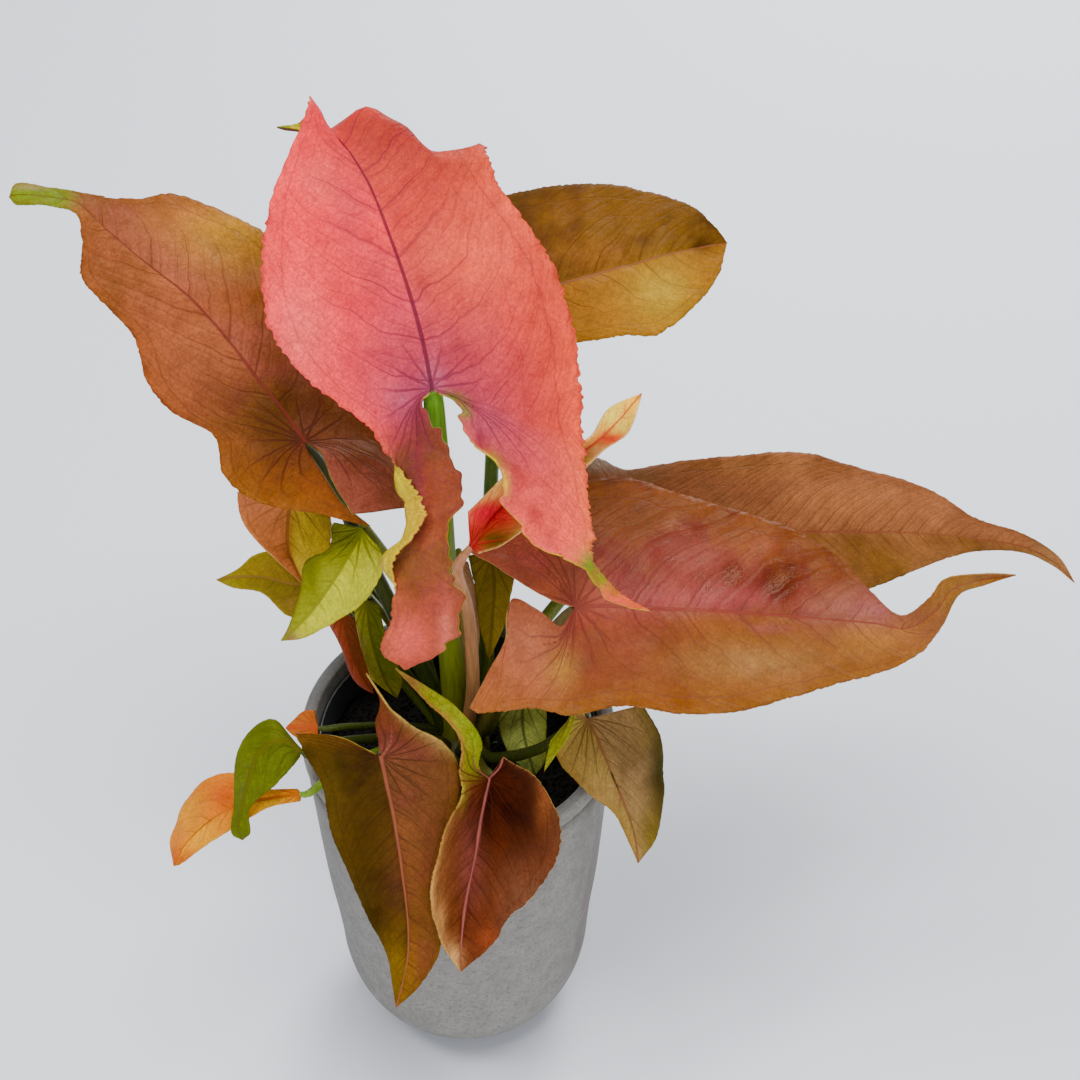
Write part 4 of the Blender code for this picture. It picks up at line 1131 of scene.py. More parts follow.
def turned(name, profile, material, sides):
    """A closed turned piece. The profile runs from the axis, round its outside, to the axis."""
    turn = np.linspace(0.0, math.tau, sides, endpoint=False)
    rings = [
        np.stack([radius * np.cos(turn), radius * np.sin(turn), np.full(sides, height)], axis=1)
        for radius, height in profile[1:-1]
    ]
    ends = np.array([(0.0, 0.0, profile[0][1]), (0.0, 0.0, profile[-1][1])])
    points = np.concatenate(rings + [ends])
    faces = []
    count = len(rings)
    for corner in range(sides):
        beyond = (corner + 1) % sides
        for ring in range(count - 1):
            low, high = ring * sides, (ring + 1) * sides
            faces.append([low + corner, high + corner, high + beyond, low + beyond])
        faces.append([count * sides, corner, beyond])
        last = (count - 1) * sides
        faces.append([count * sides + 1, last + beyond, last + corner])
    return new_piece(name, points, faces, material)


def add_node(tree, kind, inputs, output=0, **settings):
    """Adds a node, sets its properties, feeds its inputs, and gives back one of its outputs."""
    node = tree.nodes.new(kind)
    for key, value in settings.items():
        setattr(node, key, value)
    pairs = inputs.items() if isinstance(inputs, dict) else enumerate(inputs)
    for key, value in pairs:
        if isinstance(value, bpy.types.NodeSocket):
            tree.links.new(value, node.inputs[key])
        else:
            node.inputs[key].default_value = value
    return node.outputs[output]


def start_material(name, roughness, ior, shine=0.5):
    """A new material with its gloss set on its shader."""
    shade = bpy.data.materials.new(name)
    shade.use_nodes = True
    tree = shade.node_tree
    shader = tree.nodes["Principled BSDF"]
    shader.inputs["Roughness"].default_value = roughness
    shader.inputs["IOR"].default_value = ior
    shader.inputs["Specular IOR Level"].default_value = shine
    return shade, tree, shader


def per_metre(size):
    """The scale of a pattern whose features are that many mm across."""
    return 1.0 / (size * MM)


def strongest(tree, masks):
    """The highest of several masks at each point."""
    result = masks[0]
    for mask in masks[1:]:
        result = add_node(tree, MATH, (result, mask), operation="MAXIMUM")
    return result


def mottled(tree, layers):
    """The lightness of a mottled skin, from noises and how strongly each one shows."""
    light = 1.0
    for value, strength in layers:
        least = 1.0 - strength / 2.0
        layer = add_node(tree, MATH, (value, strength, least), operation="MULTIPLY_ADD")
        light = add_node(tree, MATH, (layer, light), operation="MULTIPLY")
    return light


def grained(tree, shader, height, strength, depth):
    """Raises a height pattern on the surface, depth in mm."""
    bump = {"Strength": strength, "Distance": depth * MM, "Height": height}
    tree.links.new(add_node(tree, "ShaderNodeBump", bump), shader.inputs["Normal"])


def blade_coordinates(tree):
    """In mm along the midrib, from it and along the veins, and the share of the way out."""
    found = []
    for name in ("veins", "flow"):
        chart = add_node(tree, "ShaderNodeUVMap", (), uv_map=name)
        split = add_node(tree, "ShaderNodeSeparateXYZ", (chart,)).node
        found += [split.outputs["X"], split.outputs["Y"]]
    lengths = [
        add_node(tree, MATH, (value, VEIN_SCALE), operation="MULTIPLY") for value in found[:3]
    ]
    return (*lengths, found[3])


def side_veins(tree, flow, out, spacing, width, strength):
    """Veins a spacing apart that grow thin and faint outwards, and the gap to the nearest one."""
    turns = add_node(tree, MATH, (flow, spacing), operation="DIVIDE")
    folded = add_node(tree, MATH, (turns, HALF_TURN), operation="PINGPONG")
    gap = add_node(tree, MATH, (folded, spacing), operation="MULTIPLY")
    breadth = add_node(tree, MATH, (out, -VEIN_TAPER * width, width), operation="MULTIPLY_ADD")
    share = add_node(tree, MATH, (gap, breadth), operation="DIVIDE")
    line = add_node(tree, RANGE, (share, VEIN_CORE, 1.0, 1.0, 0.0), **SMOOTH)
    fade = add_node(tree, MATH, (out, -VEIN_FADE * strength, strength), operation="MULTIPLY_ADD")
    return add_node(tree, MATH, (line, fade), operation="MULTIPLY"), gap


def midrib_line(tree, along, distance):
    """The midrib, broad at the junction and fine at the tip and in the lobes."""
    far = add_node(tree, MATH, (along,), operation="ABSOLUTE")
    half = add_node(tree, MATH, (far, -MIDRIB_TAPER, MIDRIB_WIDTH), operation="MULTIPLY_ADD")
    half = add_node(tree, MATH, (half, MIDRIB_LEAST), operation="MAXIMUM")
    share = add_node(tree, MATH, (distance, half), operation="DIVIDE")
    return add_node(tree, RANGE, (share, *MIDRIB_LINE, 1.0, 0.0), **SMOOTH)


def vein_fan(tree, along, distance, wander):
    """Veins that spread from the junction, and how near the junction is."""
    squares = [
        add_node(tree, MATH, (value, value), operation="MULTIPLY") for value in (along, distance)
    ]
    square = add_node(tree, MATH, squares, operation="ADD")
    radius = add_node(tree, MATH, (square,), operation="SQRT")
    heart = add_node(tree, RANGE, (radius, FAN_CORE, FAN_REACH, 1.0, 0.0), **SMOOTH)
    angle = add_node(tree, MATH, (distance, along), operation="ARCTAN2")
    turns = add_node(tree, MATH, (angle, FAN_ANGLE), operation="DIVIDE")
    turns = add_node(tree, MATH, (wander, FAN_WANDER, turns), operation="MULTIPLY_ADD")
    folded = add_node(tree, MATH, (turns, HALF_TURN), operation="PINGPONG")
    spread = add_node(tree, MATH, (radius, FAN_ANGLE), operation="MULTIPLY")
    gap = add_node(tree, MATH, (folded, spread), operation="MULTIPLY")
    line = add_node(tree, RANGE, (gap, *FAN_LINE, 1.0, 0.0), **SMOOTH)
    return add_node(tree, MATH, (line, heart), operation="MULTIPLY"), heart


def edge_veins(tree, out, wander):
    """The two veins that follow the edge and collect the side veins."""
    veins = []
    for place, width, strength in EDGE_VEINS:
        apart = add_node(tree, MATH, (wander, EDGE_VEIN_WANDER, out), operation="MULTIPLY_ADD")
        apart = add_node(tree, MATH, (apart, place + EDGE_VEIN_WANDER / 2.0), operation="SUBTRACT")
        apart = add_node(tree, MATH, (apart,), operation="ABSOLUTE")
        ends = (VEIN_CORE * width, width, strength, 0.0)
        veins.append(add_node(tree, RANGE, (apart, *ends), **SMOOTH))
    return veins


def vein_nets(tree, place, wander):
    """The nets of fine veins, coarse then fine, drawn a little out of true."""
    warp = (wander, (NET_WARP * MM,) * 3, place)
    warped = add_node(tree, VECTOR_MATH, warp, operation="MULTIPLY_ADD")
    nets = []
    for size, width, strength in NETS:
        cell = {"Vector": warped, "Scale": per_metre(size)}
        border = add_node(tree, "ShaderNodeTexVoronoi", cell, feature="DISTANCE_TO_EDGE")
        line = add_node(tree, RANGE, (border, 0.0, width, 1.0, 0.0), **SMOOTH)
        nets.append(add_node(tree, MATH, (line, strength), operation="MULTIPLY"))
    return nets


def leaf_material(name):
    """Living leaf: a waxy skin over moist tissue, so a soft gloss and a little light inside.

    Its veins follow the blade: the midrib, side veins that sweep to the tip, veins that spread
    from the junction, and a fine net between them. Its colours are mottled as they age.
    """
    look, spacing = look_of(name), surface_of(name)["veins"]
    title = name.replace("leaf_", "") + " leaf skin"
    shade, tree, shader = start_material(title, look["gloss"], LEAF_IOR, look["shine"])
    along, distance, flow, out = blade_coordinates(tree)
    place = add_node(tree, "ShaderNodeTexCoord", (), "Object")
    broad, middle, fine = (
        add_node(
            tree, NOISE,
            {"Vector": place, "Scale": per_metre(size), "Detail": 3.0, "Roughness": rough},
        )
        for size, rough in MOTTLES
    )
    bend = VEIN_WANDER * spacing
    wander = add_node(tree, MATH, (broad, bend, -bend / 2.0), operation="MULTIPLY_ADD")
    wander = add_node(tree, MATH, (middle, 1.0, wander), operation="MULTIPLY_ADD")
    bent = add_node(tree, MATH, (flow, wander), operation="ADD")
    sides, gaps = zip(*(
        side_veins(tree, bent, out, spacing / closeness, width, strength)
        for closeness, width, strength in SIDE_VEINS
    ))
    fan, heart = vein_fan(tree, along, distance, middle)
    in_blade = add_node(tree, RANGE, (along, -LOBE_REACH, 0.0, LOBE_SIDE_VEINS, 1.0))
    side = add_node(tree, MATH, (strongest(tree, sides), in_blade), operation="MULTIPLY")
    ribs = strongest(tree, [side, fan, *edge_veins(tree, out, middle)])
    lines = strongest(tree, [ribs, *vein_nets(tree, place, middle)])
    midrib = midrib_line(tree, along, distance)

    tone = add_node(tree, "ShaderNodeVertexColor", (), layer_name="tone")
    patches = add_node(
        tree, NOISE,
        {"Vector": place, "Scale": per_metre(PATCH_SIZE), "Detail": 4.0, "Roughness": 0.6},
    )
    patches = add_node(tree, RANGE, (patches, *PATCH_EDGE, 1.0, 0.0), **SMOOTH)
    code, strength = look.get("blotch", (look["vein"], 0.0))
    share = add_node(tree, MATH, (patches, strength), operation="MULTIPLY")
    skin = add_node(tree, MIX, {0: share, 6: tone, 7: opaque(code)}, 2, data_type="RGBA")
    light = mottled(tree, zip((broad, middle, fine), MOTTLE_STRENGTHS))
    skin = add_node(tree, VECTOR_MATH, {0: skin, "Scale": light}, operation="SCALE")
    depth = add_node(tree, MATH, (heart, HEART_VEINS, VEIN_STRENGTH), operation="MULTIPLY_ADD")
    for line, strength, code in (
        (lines, depth, look["vein"]), (midrib, MIDRIB_STRENGTH, look["midrib"]),
    ):
        share = add_node(tree, MATH, (line, strength), operation="MULTIPLY")
        skin = add_node(tree, MIX, {0: share, 6: skin, 7: opaque(code)}, 2, data_type="RGBA")
    tree.links.new(skin, shader.inputs["Base Color"])

    hollow = strongest(tree, [
        add_node(tree, RANGE, (gap, 0.0, reach * spacing, sunk, 0.0), **SMOOTH)
        for gap, (reach, sunk) in zip(gaps, HOLLOWS)
    ])
    height = add_node(tree, MATH, (fine, FINE_RELIEF, middle), operation="MULTIPLY_ADD")
    grooves = strongest(tree, [ribs, midrib])
    height = add_node(tree, MATH, (grooves, -RIB_GROOVE, height), operation="MULTIPLY_ADD")
    height = add_node(tree, MATH, (hollow, -PUCKER * spacing, height), operation="MULTIPLY_ADD")
    grained(tree, shader, height, strength=0.6, depth=0.6)
    least = look["gloss"] - ROUGH_RANGE / 2.0 - WET_ROUGHNESS
    rough = add_node(tree, MATH, (middle, ROUGH_RANGE, least), operation="MULTIPLY_ADD")
    dry = tone.node.outputs["Alpha"]
    rough = add_node(tree, MATH, (rough, dry, WET_ROUGHNESS), operation="MULTIPLY_ADD")
    tree.links.new(rough, shader.inputs["Roughness"])
    shader.inputs["Specular Tint"].default_value = opaque_of(CUTICLE_TINT)
    shader.inputs["Subsurface Weight"].default_value = INNER_LIGHT
    shader.inputs["Subsurface Scale"].default_value = INNER_REACH * MM
    return shade


def stalk_material():
    """Petiole skin, grown in long cells: green with paler lines along it and a waxy gloss."""
    shade, tree, shader = start_material("petiole skin", roughness=0.38, ior=1.44, shine=0.15)
    tone = add_node(tree, "ShaderNodeVertexColor", (), layer_name="tone")
    place = add_node(tree, "ShaderNodeTexCoord", (), "Object")
    drawn = add_node(tree, "ShaderNodeMapping", {"Vector": place, "Scale": (1.0, 1.0, 0.06)})
    cells = {"Vector": drawn, "Scale": per_metre(0.7), "Detail": 2.0}
    streak = add_node(tree, NOISE, cells)
    light = mottled(tree, [(streak, 1.1)])
    skin = add_node(tree, VECTOR_MATH, {0: tone, "Scale": light}, operation="SCALE")
    tree.links.new(skin, shader.inputs["Base Color"])
    grained(tree, shader, streak, strength=0.3, depth=0.3)
    return shade


def pot_material(settings):
    """Glazed stoneware: pale grey satin glaze, mottled where it ran thin, with iron specks."""
    shade, tree, shader = start_material("glazed stoneware", roughness=0.55, ior=1.5, shine=0.06)
    place = add_node(tree, "ShaderNodeTexCoord", (), "Object")
    level = add_node(tree, "ShaderNodeMapping", {"Vector": place, "Scale": (1.0, 1.0, 0.0)})
    drawn = add_node(tree, "ShaderNodeMapping", {"Vector": place, "Scale": (1.0, 1.0, 0.25)})
    cloud, specks, runs = (
        add_node(
            tree, NOISE,
            {"Vector": where, "Scale": per_metre(size), "Detail": detail, "Roughness": rough},
        )
        for where, size, detail, rough in (
            (place, 6.0, 6.0, 0.8), (place, 1.1, 3.0, 0.75), (drawn, 7.5, 4.0, 0.7),
        )
    )
    from_runs = add_node(tree, VECTOR_MATH, (level, RUN_PLACE), "Value", operation="DISTANCE")
    from_spot = add_node(tree, VECTOR_MATH, (place, SPOT_PLACE), "Value", operation="DISTANCE")
    from_axis = add_node(tree, VECTOR_MATH, (level,), "Value", operation="LENGTH")
    from_crest = add_node(tree, MATH, (from_axis, CREST_RADIUS * MM), operation="SUBTRACT")
    from_crest = add_node(tree, MATH, (from_crest,), operation="ABSOLUTE")
    height = add_node(tree, "ShaderNodeSeparateXYZ", (place,), "Z")
    on_lip = add_node(tree, MATH, (height, (POT_HEIGHT - LIP_ROUND) * MM), operation="GREATER_THAN")
    in_run = add_node(tree, RANGE, (runs, 0.42, 0.6, 1.0, 0.0), **SMOOTH)
    thin = opaque_of(GLAZE_SHADE * np.array(settings.glaze))

    # Thin glaze in clouds, the dark line along the lip, the brownish runs, the iron specks and
    # the brown spot. Each is full where its value is near, and gone where it is far.
    base = opaque_of(settings.glaze)
    for value, near, far, mask, strength, colour in (
        (cloud, 0.36, 0.66, None, 1.0, thin),
        (from_crest, 0.9 * MM, 1.6 * MM, on_lip, 0.7, opaque("5C5E60")),
        (from_runs, 1.0 * MM, 14.0 * MM, in_run, 0.5, opaque("6A5A56")),
        (specks, 0.36, 0.5, None, 0.6, opaque("5E5450")),
        (from_spot, 0.9 * MM, 2.1 * MM, None, 1.0, opaque("4E3226")),
    ):
        share = add_node(tree, RANGE, (value, near, far, strength, 0.0), **SMOOTH)
        if mask is not None:
            share = add_node(tree, MATH, (share, mask), operation="MULTIPLY")
        base = add_node(tree, MIX, {0: share, 6: base, 7: colour}, 2, data_type="RGBA")
    tree.links.new(base, shader.inputs["Base Color"])
    grained(tree, shader, specks, strength=0.25, depth=0.3)
    return shade


def grainy_material(name, code, roughness, ior, grain, size, shine=0.5):
    """One colour, lighter and darker in grains of that size in mm, which also stand out."""
    shade, tree, shader = start_material(name, roughness, ior, shine)
    place = add_node(tree, "ShaderNodeTexCoord", (), "Object")
    grains = {"Vector": place, "Scale": per_metre(size), "Detail": 4.0, "Roughness": 0.65}
    value = add_node(tree, NOISE, grains)
    light = mottled(tree, [(value, 2.0 * grain)])
    body = add_node(tree, VECTOR_MATH, {0: tuple(linear(code)), "Scale": light}, operation="SCALE")
    tree.links.new(body, shader.inputs["Base Color"])
    grained(tree, shader, value, strength=0.6, depth=0.6)
    return shade


def arc(centre, radii, start, end, steps):
    """Points of a round corner in a profile, angles in degrees."""
    turn = np.radians(np.linspace(start, end, steps + 1))
    return list(zip(centre[0] + radii[0] * np.cos(turn), centre[1] + radii[1] * np.sin(turn)))


def outer_profile():
    """The pot's outer side from under the lip to the heel, as a smooth line."""
    top = (POT_TOP_RADIUS - LIP_STEP, POT_HEIGHT - LIP_HEIGHT - LIP_STEP)
    line = smooth_through([top, POT_SHOULDER, POT_WAIST, POT_HEEL_TOP], 5)
    return [tuple(point) for point in line[:-1]]


def light_power(name, description, default):
    """A setting for the power of a light."""
    return FloatProperty(
        name=name, description=description, default=default, min=0.0, unit="POWER"
    )


def colour_setting(name, description, code):
    """A setting for a colour, whose default is given as an sRGB hex value."""
    return FloatVectorProperty(
        name=name, description=description, subtype="COLOR", size=3, default=tuple(linear(code)),
        min=0.0, max=1.0,
    )


class PotSettings(bpy.types.PropertyGroup):
    """How finely the pots are turned, and the glaze"""

    sides: IntProperty(name="Sides", description="Sides of the turned pieces", default=128, min=24)
    glaze: colour_setting("Glaze", "Colour of the pot's glaze", "83817C")


class LeafSettings(bpy.types.PropertyGroup):
    """The blades' thickness and fineness"""

    thickness: FloatProperty(
        name="Thickness", description="Thickness of a blade", default=0.0006, min=0.0002,
        unit="LENGTH",
    )
    rows: IntProperty(name="Rows", description="Cells from midrib to edge", default=20, min=4)
    steps: IntProperty(name="Steps", description="Cells from rib to rib", default=20, min=2)


class SoilSettings(bpy.types.PropertyGroup):
    """The crumbs on the soil"""

    density: FloatProperty(
        name="Crumbs", description="Crumbs on each square metre of soil", default=420000.0, min=0.0
    )
    crumb: FloatProperty(
        name="Crumb size", description="Largest crumb", default=0.0016, min=0.0002, unit="LENGTH"
    )
    seed: IntProperty(name="Seed", description="Seed of the crumbs' places", default=7)


class StageSettings(bpy.types.PropertyGroup):
    """The floor's colour and the lights"""

    floor: colour_setting("Floor", "Colour of the floor", "E9EDF6")
    key: light_power("Key light", "Light from the left", 7.5)
    top: light_power("Top light", "Light from above", 11.0)
    wash: light_power("Wash", "Light on the floor behind", 12.5)
    fill: light_power("Fill", "Light from low in front", 14.0)
    sky: FloatProperty(name="Sky", description="Strength of the even light", default=0.41, min=0.0)


class PLANT_OT_pot(bpy.types.Operator):
    """Make the glazed outer pot"""

    bl_idname = "plant.pot"
    bl_label = "Make pot"

    def execute(self, context):
        settings = context.scene.plant_pot
        heel_width = POT_HEEL_TOP[0] - POT_FOOT_RADIUS
        side = (POT_HEEL_TOP, POT_WAIST, POT_SHOULDER)
        inside = [(0.0, POT_FLOOR), (POT_FLOOR_RADIUS, POT_FLOOR)]
        inside += [(radius - POT_WALL, height) for radius, height in side]
        top = (POT_TOP_RADIUS - LIP_ROUND, POT_HEIGHT - LIP_ROUND)
        lip = arc(top, (LIP_ROUND, LIP_ROUND), 180, 0, 16)
        under = (POT_TOP_RADIUS - LIP_STEP, POT_HEIGHT - LIP_HEIGHT)
        fold = arc(under, (LIP_STEP, LIP_STEP), 0, -90, 4)
        heel = arc((POT_FOOT_RADIUS, POT_HEEL_TOP[1]), (heel_width, POT_HEEL_TOP[1]), 0, -90, 20)
        profile = inside + lip + fold + outer_profile() + heel + [(0.0, 0.0)]
        piece = turned("outer_pot", profile, pot_material(settings), settings.sides)
        finished(piece, "pot")
        return {"FINISHED"}


class PLANT_OT_inner_pot(bpy.types.Operator):
    """Make the thin nursery pot"""

    bl_idname = "plant.inner_pot"
    bl_label = "Make nursery pot"

    def execute(self, context):
        base = POT_FLOOR + GAP
        floor = base + NURSERY_WALL
        heel = base + NURSERY_FOOT_CURVE
        half = NURSERY_WALL / 2.0
        lip = arc((NURSERY_TOP_RADIUS - half, NURSERY_TOP - half), (half, half), 180, 0, 6)
        outside = nursery_radius(heel)
        profile = [
            (0.0, floor), (outside - NURSERY_FOOT_CURVE, floor), (outside - NURSERY_WALL, heel),
            *lip, (outside, heel), (outside - NURSERY_FOOT_CURVE, base), (0.0, base),
        ]
        # Moulded polypropylene: even near-black plastic with a soft sheen and faint cloudiness
        material = grainy_material(
            "moulded polypropylene", "2C2D2F", roughness=0.35, ior=1.49, grain=0.12, size=11.0
        )
        piece = turned("nursery_pot", profile, material, context.scene.plant_pot.sides)
        finished(piece, "inner_pot")
        return {"FINISHED"}


def start_tree(name, sockets):
    """A new geometry tree, its inputs' identifiers by name, and its inputs' outlets."""
    tree = bpy.data.node_groups.new(name, "GeometryNodeTree")
    keys = {}
    for label, kind, default in (("Geometry", "NodeSocketGeometry", None), *sockets):
        socket = tree.interface.new_socket(label, in_out="INPUT", socket_type=kind)
        if default is not None:
            socket.default_value = default
        keys[label] = socket.identifier
    tree.interface.new_socket("Geometry", in_out="OUTPUT", socket_type="NodeSocketGeometry")
    return tree, keys, tree.nodes.new("NodeGroupInput").outputs


def end_tree(tree, geometry, material):
    """Ends a tree in real geometry with its material."""
    real = add_node(tree, "GeometryNodeRealizeInstances", (geometry,))
    covered = add_node(tree, "GeometryNodeSetMaterial", {"Geometry": real, "Material": material})
    result = tree.nodes.new("NodeGroupOutput")
    tree.links.new(covered, result.inputs[0])


def crumb_tree(material):
    """Scatters crumbs over a surface, with inputs for how many, how large and the seed."""
    tree, keys, given = start_tree("crumbs", (
        ("Density", "NodeSocketFloat", 100000.0), ("Size", "NodeSocketFloat", MM),
        ("Seed", "NodeSocketInt", 0),
    ))
    spread = add_node(
        tree, "GeometryNodeDistributePointsOnFaces",
        {"Mesh": given["Geometry"], "Density": given["Density"], "Seed": given["Seed"]},
        distribute_method="RANDOM",
    )
    crumb = add_node(tree, "GeometryNodeMeshIcoSphere", {"Radius": 1.0, "Subdivisions": 1})
    size, turn = (
        add_node(
            tree, "FunctionNodeRandomValue", {0: low, 1: high, "Seed": given["Seed"]},
            data_type="FLOAT_VECTOR",
        )
        for low, high in (CRUMB_SIZES, CRUMB_TURNS)
    )
    size = add_node(tree, VECTOR_MATH, {0: size, "Scale": given["Size"]}, operation="SCALE")
    placed = add_node(
        tree, "GeometryNodeInstanceOnPoints",
        {"Points": spread, "Instance": crumb, "Rotation": turn, "Scale": size},
    )
    end_tree(tree, placed, material)
    return tree, keys


def stalk_tree(material):
    """Skins a line: a round section with ridges, as wide as the line's radius says."""
    tree, keys, given = start_tree("stalk", (
        ("Sides", "NodeSocketInt", STALK_SIDES), ("Ridges", "NodeSocketInt", STALK_RIDGES),
        ("Ridge", "NodeSocketFloat", STALK_RIDGE), ("Foot", "NodeSocketColor", None),
        ("Head", "NodeSocketColor", None),
    ))
    share = add_node(tree, "GeometryNodeSplineParameter", (), "Factor")
    share = add_node(tree, MATH, (share, TONE_RISE), operation="POWER")
    tone = add_node(tree, MIX, {0: share, 6: given["Foot"], 7: given["Head"]}, 2, data_type="RGBA")
    line = add_node(
        tree, "GeometryNodeStoreNamedAttribute",
        {"Geometry": given["Geometry"], "Name": "tone", "Value": tone},
        data_type="FLOAT_COLOR", domain="POINT",
    )
    circle = add_node(
        tree, "GeometryNodeCurvePrimitiveCircle", {"Resolution": given["Sides"], "Radius": 1.0}
    )
    around = add_node(tree, "GeometryNodeSplineParameter", (), "Factor")
    turn = add_node(tree, MATH, (around, given["Ridges"]), operation="MULTIPLY")
    turn = add_node(tree, MATH, (turn, math.tau), operation="MULTIPLY")
    wave = add_node(tree, MATH, (turn,), operation="COSINE")
    reach = add_node(tree, MATH, (wave, given["Ridge"], 1.0), operation="MULTIPLY_ADD")
    where = add_node(tree, "GeometryNodeInputPosition", ())
    where = add_node(tree, VECTOR_MATH, {0: where, "Scale": reach}, operation="SCALE")
    section = add_node(tree, "GeometryNodeSetPosition", {"Geometry": circle, "Position": where})
    radius = add_node(tree, "GeometryNodeInputRadius", ())
    skin = add_node(
        tree, "GeometryNodeCurveToMesh",
        {"Curve": line, "Profile Curve": section, "Scale": radius, "Fill Caps": True},
    )
    end_tree(tree, skin, material)
    return tree, keys


def grown(host, built, values):
    """The plain mesh that a geometry tree makes of its host."""
    tree, keys = built
    growth = host.modifiers.new(tree.name, "NODES")
    growth.node_group = tree
    for label, value in values.items():
        growth[keys[label]] = value
    graph = bpy.context.evaluated_depsgraph_get()
    mesh = bpy.data.meshes.new_from_object(host.evaluated_get(graph))
    host.modifiers.remove(growth)
    if not len(mesh.polygons):
        raise RuntimeError(tree.name + " made no faces")
    return mesh


def scattered(name, ground, material, density, size, seed):
    """A plain mesh of crumbs lying on the ground piece's faces."""
    mesh = grown(ground, crumb_tree(material), {"Density": density, "Size": size, "Seed": seed})
    mesh.name = name
    piece = added(name, mesh)
    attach(piece, "root")


class PLANT_OT_soil(bpy.types.Operator):
    """Make the potting soil and its loose crumbs"""

    bl_idname = "plant.soil"
    bl_label = "Make soil"

    def execute(self, context):
        settings = context.scene.plant_soil
        inset = NURSERY_WALL + GAP
        floor = POT_FLOOR + GAP + NURSERY_WALL + GAP
        heel = POT_FLOOR + GAP + NURSERY_FOOT_CURVE + GAP
        hole = CLUSTER_RADIUS + GAP
        edge = SOIL_TOP - SOIL_CROWN
        rim = nursery_radius(edge) - inset
        reach = np.linspace(hole, rim, SOIL_SAMPLES)
        fall = SOIL_CROWN * ((reach - hole) / (rim - hole)) ** 2
        profile = [(0.0, SOIL_TOP - CLUSTER_DEPTH), (hole, SOIL_TOP - CLUSTER_DEPTH)]
        profile += list(zip(reach, SOIL_TOP - fall))
        profile += [
            (nursery_radius(heel) - inset, heel),
            (nursery_radius(heel) - inset - NURSERY_FOOT_CURVE, floor), (0.0, floor),
        ]
        # Damp peat: near-black and matt, in fine grains
        peat = dict(roughness=0.95, ior=1.4, grain=0.5, shine=0.15)
        dark = grainy_material("damp peat", "0C0A08", size=1.4, **peat)
        ground = turned("soil_bed", profile, dark, SOIL_SIDES)
        for vertex in ground.data.vertices:
            radius = math.hypot(vertex.co.x, vertex.co.y) / MM
            inside = hole + SOIL_MARGIN < radius < rim - SOIL_MARGIN
            if inside and vertex.co.z > (edge - SOIL_MARGIN) * MM:
                vertex.co.z += SOIL_ROUGH * MM * noise.noise(vertex.co * LUMPS_PER_METRE)
        finished(ground, "soil")
        top = [
            list(face.vertices) for face in ground.data.polygons
            if face.normal.z > LYING and face.center.z > (edge - 2.0 * SOIL_MARGIN) * MM
        ]
        sheet = bpy.data.meshes.new("soil_top")
        sheet.from_pydata([vertex.co.copy() for vertex in ground.data.vertices], [], top)
        patch = added("soil_top", sheet)
        # Loose crumbs of the same peat, and living moss: olive green and a little less matt
        crumbs = grainy_material("peat crumbs", "0C0A07", size=1.1, **peat)
        moss = grainy_material("moss", "46561A", roughness=0.8, ior=1.4, grain=0.4, size=1.1)
        for name, material, density, seed in (
            ("soil_crumbs", crumbs, settings.density, settings.seed),
            ("soil_moss", moss, settings.density * MOSS_SHARE, settings.seed + 1),
        ):
            scattered(name, patch, material, density, settings.crumb, seed)
        bpy.data.objects.remove(patch, do_unlink=True)
        return {"FINISHED"}


def grown_stalk(built, line, radii, low, high, sides=STALK_SIDES, ridge=STALK_RIDGE):
    """A closed stalk along a line, in mm, its colour running from low to high."""
    curve = bpy.data.curves.new("stalk_line", "CURVE")
    curve.dimensions = "3D"
    spline = curve.splines.new("POLY")
    spline.points.add(len(line) - 1)
    for point, place, radius in zip(spline.points, line, radii):
        point.co = (*(place * MM), 1.0)
        point.radius = radius * MM
    host = added("stalk_line", curve)
    values = {"Sides": sides, "Ridge": ridge, "Foot": opaque(low), "Head": opaque(high)}
    mesh = grown(host, built, values)
    bpy.data.objects.remove(host, do_unlink=True)
    bpy.data.curves.remove(curve)
    return mesh


class PLANT_OT_stems(bpy.types.Operator):
    """Make the stem cluster and every leaf stalk"""

    bl_idname = "plant.stems"
    bl_label = "Make stems"

    def execute(self, context):
        skin = stalk_material()
        built = stalk_tree(skin)
        meshes = []
        for name, stalk in STALKS.items():
            line = stalk_line(name, stalk)
            share = np.linspace(0.0, 1.0, len(line))
            foot, head = stalk["radii"]
            radii = foot + (head - foot) * share**STALK_TAPER
            in_head = np.clip((share - HEAD_START) / HEAD_LENGTH, 0.0, 1.0)
            radii = radii * (1.0 - HEAD_NARROWING * in_head)
            meshes.append(grown_stalk(built, line, radii, *STALK_TONES.get(name, STALK_TONE)))
        swell = np.linspace(0.0, DOME_TURN, DOME_RINGS)
        dome = CLUSTER_RISE * DOME_SHARE
        base = SOIL_TOP - CLUSTER_DEPTH + GAP
        heights = [base, SOIL_TOP, *(SOIL_TOP + CLUSTER_RISE - dome + dome * np.sin(swell))]
        widths = np.array([1.0, 1.0, *np.cos(swell)]) * CLUSTER_RADIUS
        line = np.array([(0.0, 0.0, height) for height in heights])
        meshes.append(
            grown_stalk(built, line, widths, CLUSTER_TONE, CLUSTER_TONE, CLUSTER_SIDES, ridge=0.0)
        )
        form = bmesh.new()
        for mesh in meshes:
            form.from_mesh(mesh)
            bpy.data.meshes.remove(mesh)
        whole = bpy.data.meshes.new("stem_cluster")
        form.to_mesh(whole)
        form.free()
        whole.materials.append(skin)
        whole.polygons.foreach_set("use_smooth", [True] * len(whole.polygons))
        finished(added("stem_cluster", whole), "stems")
        return {"FINISHED"}


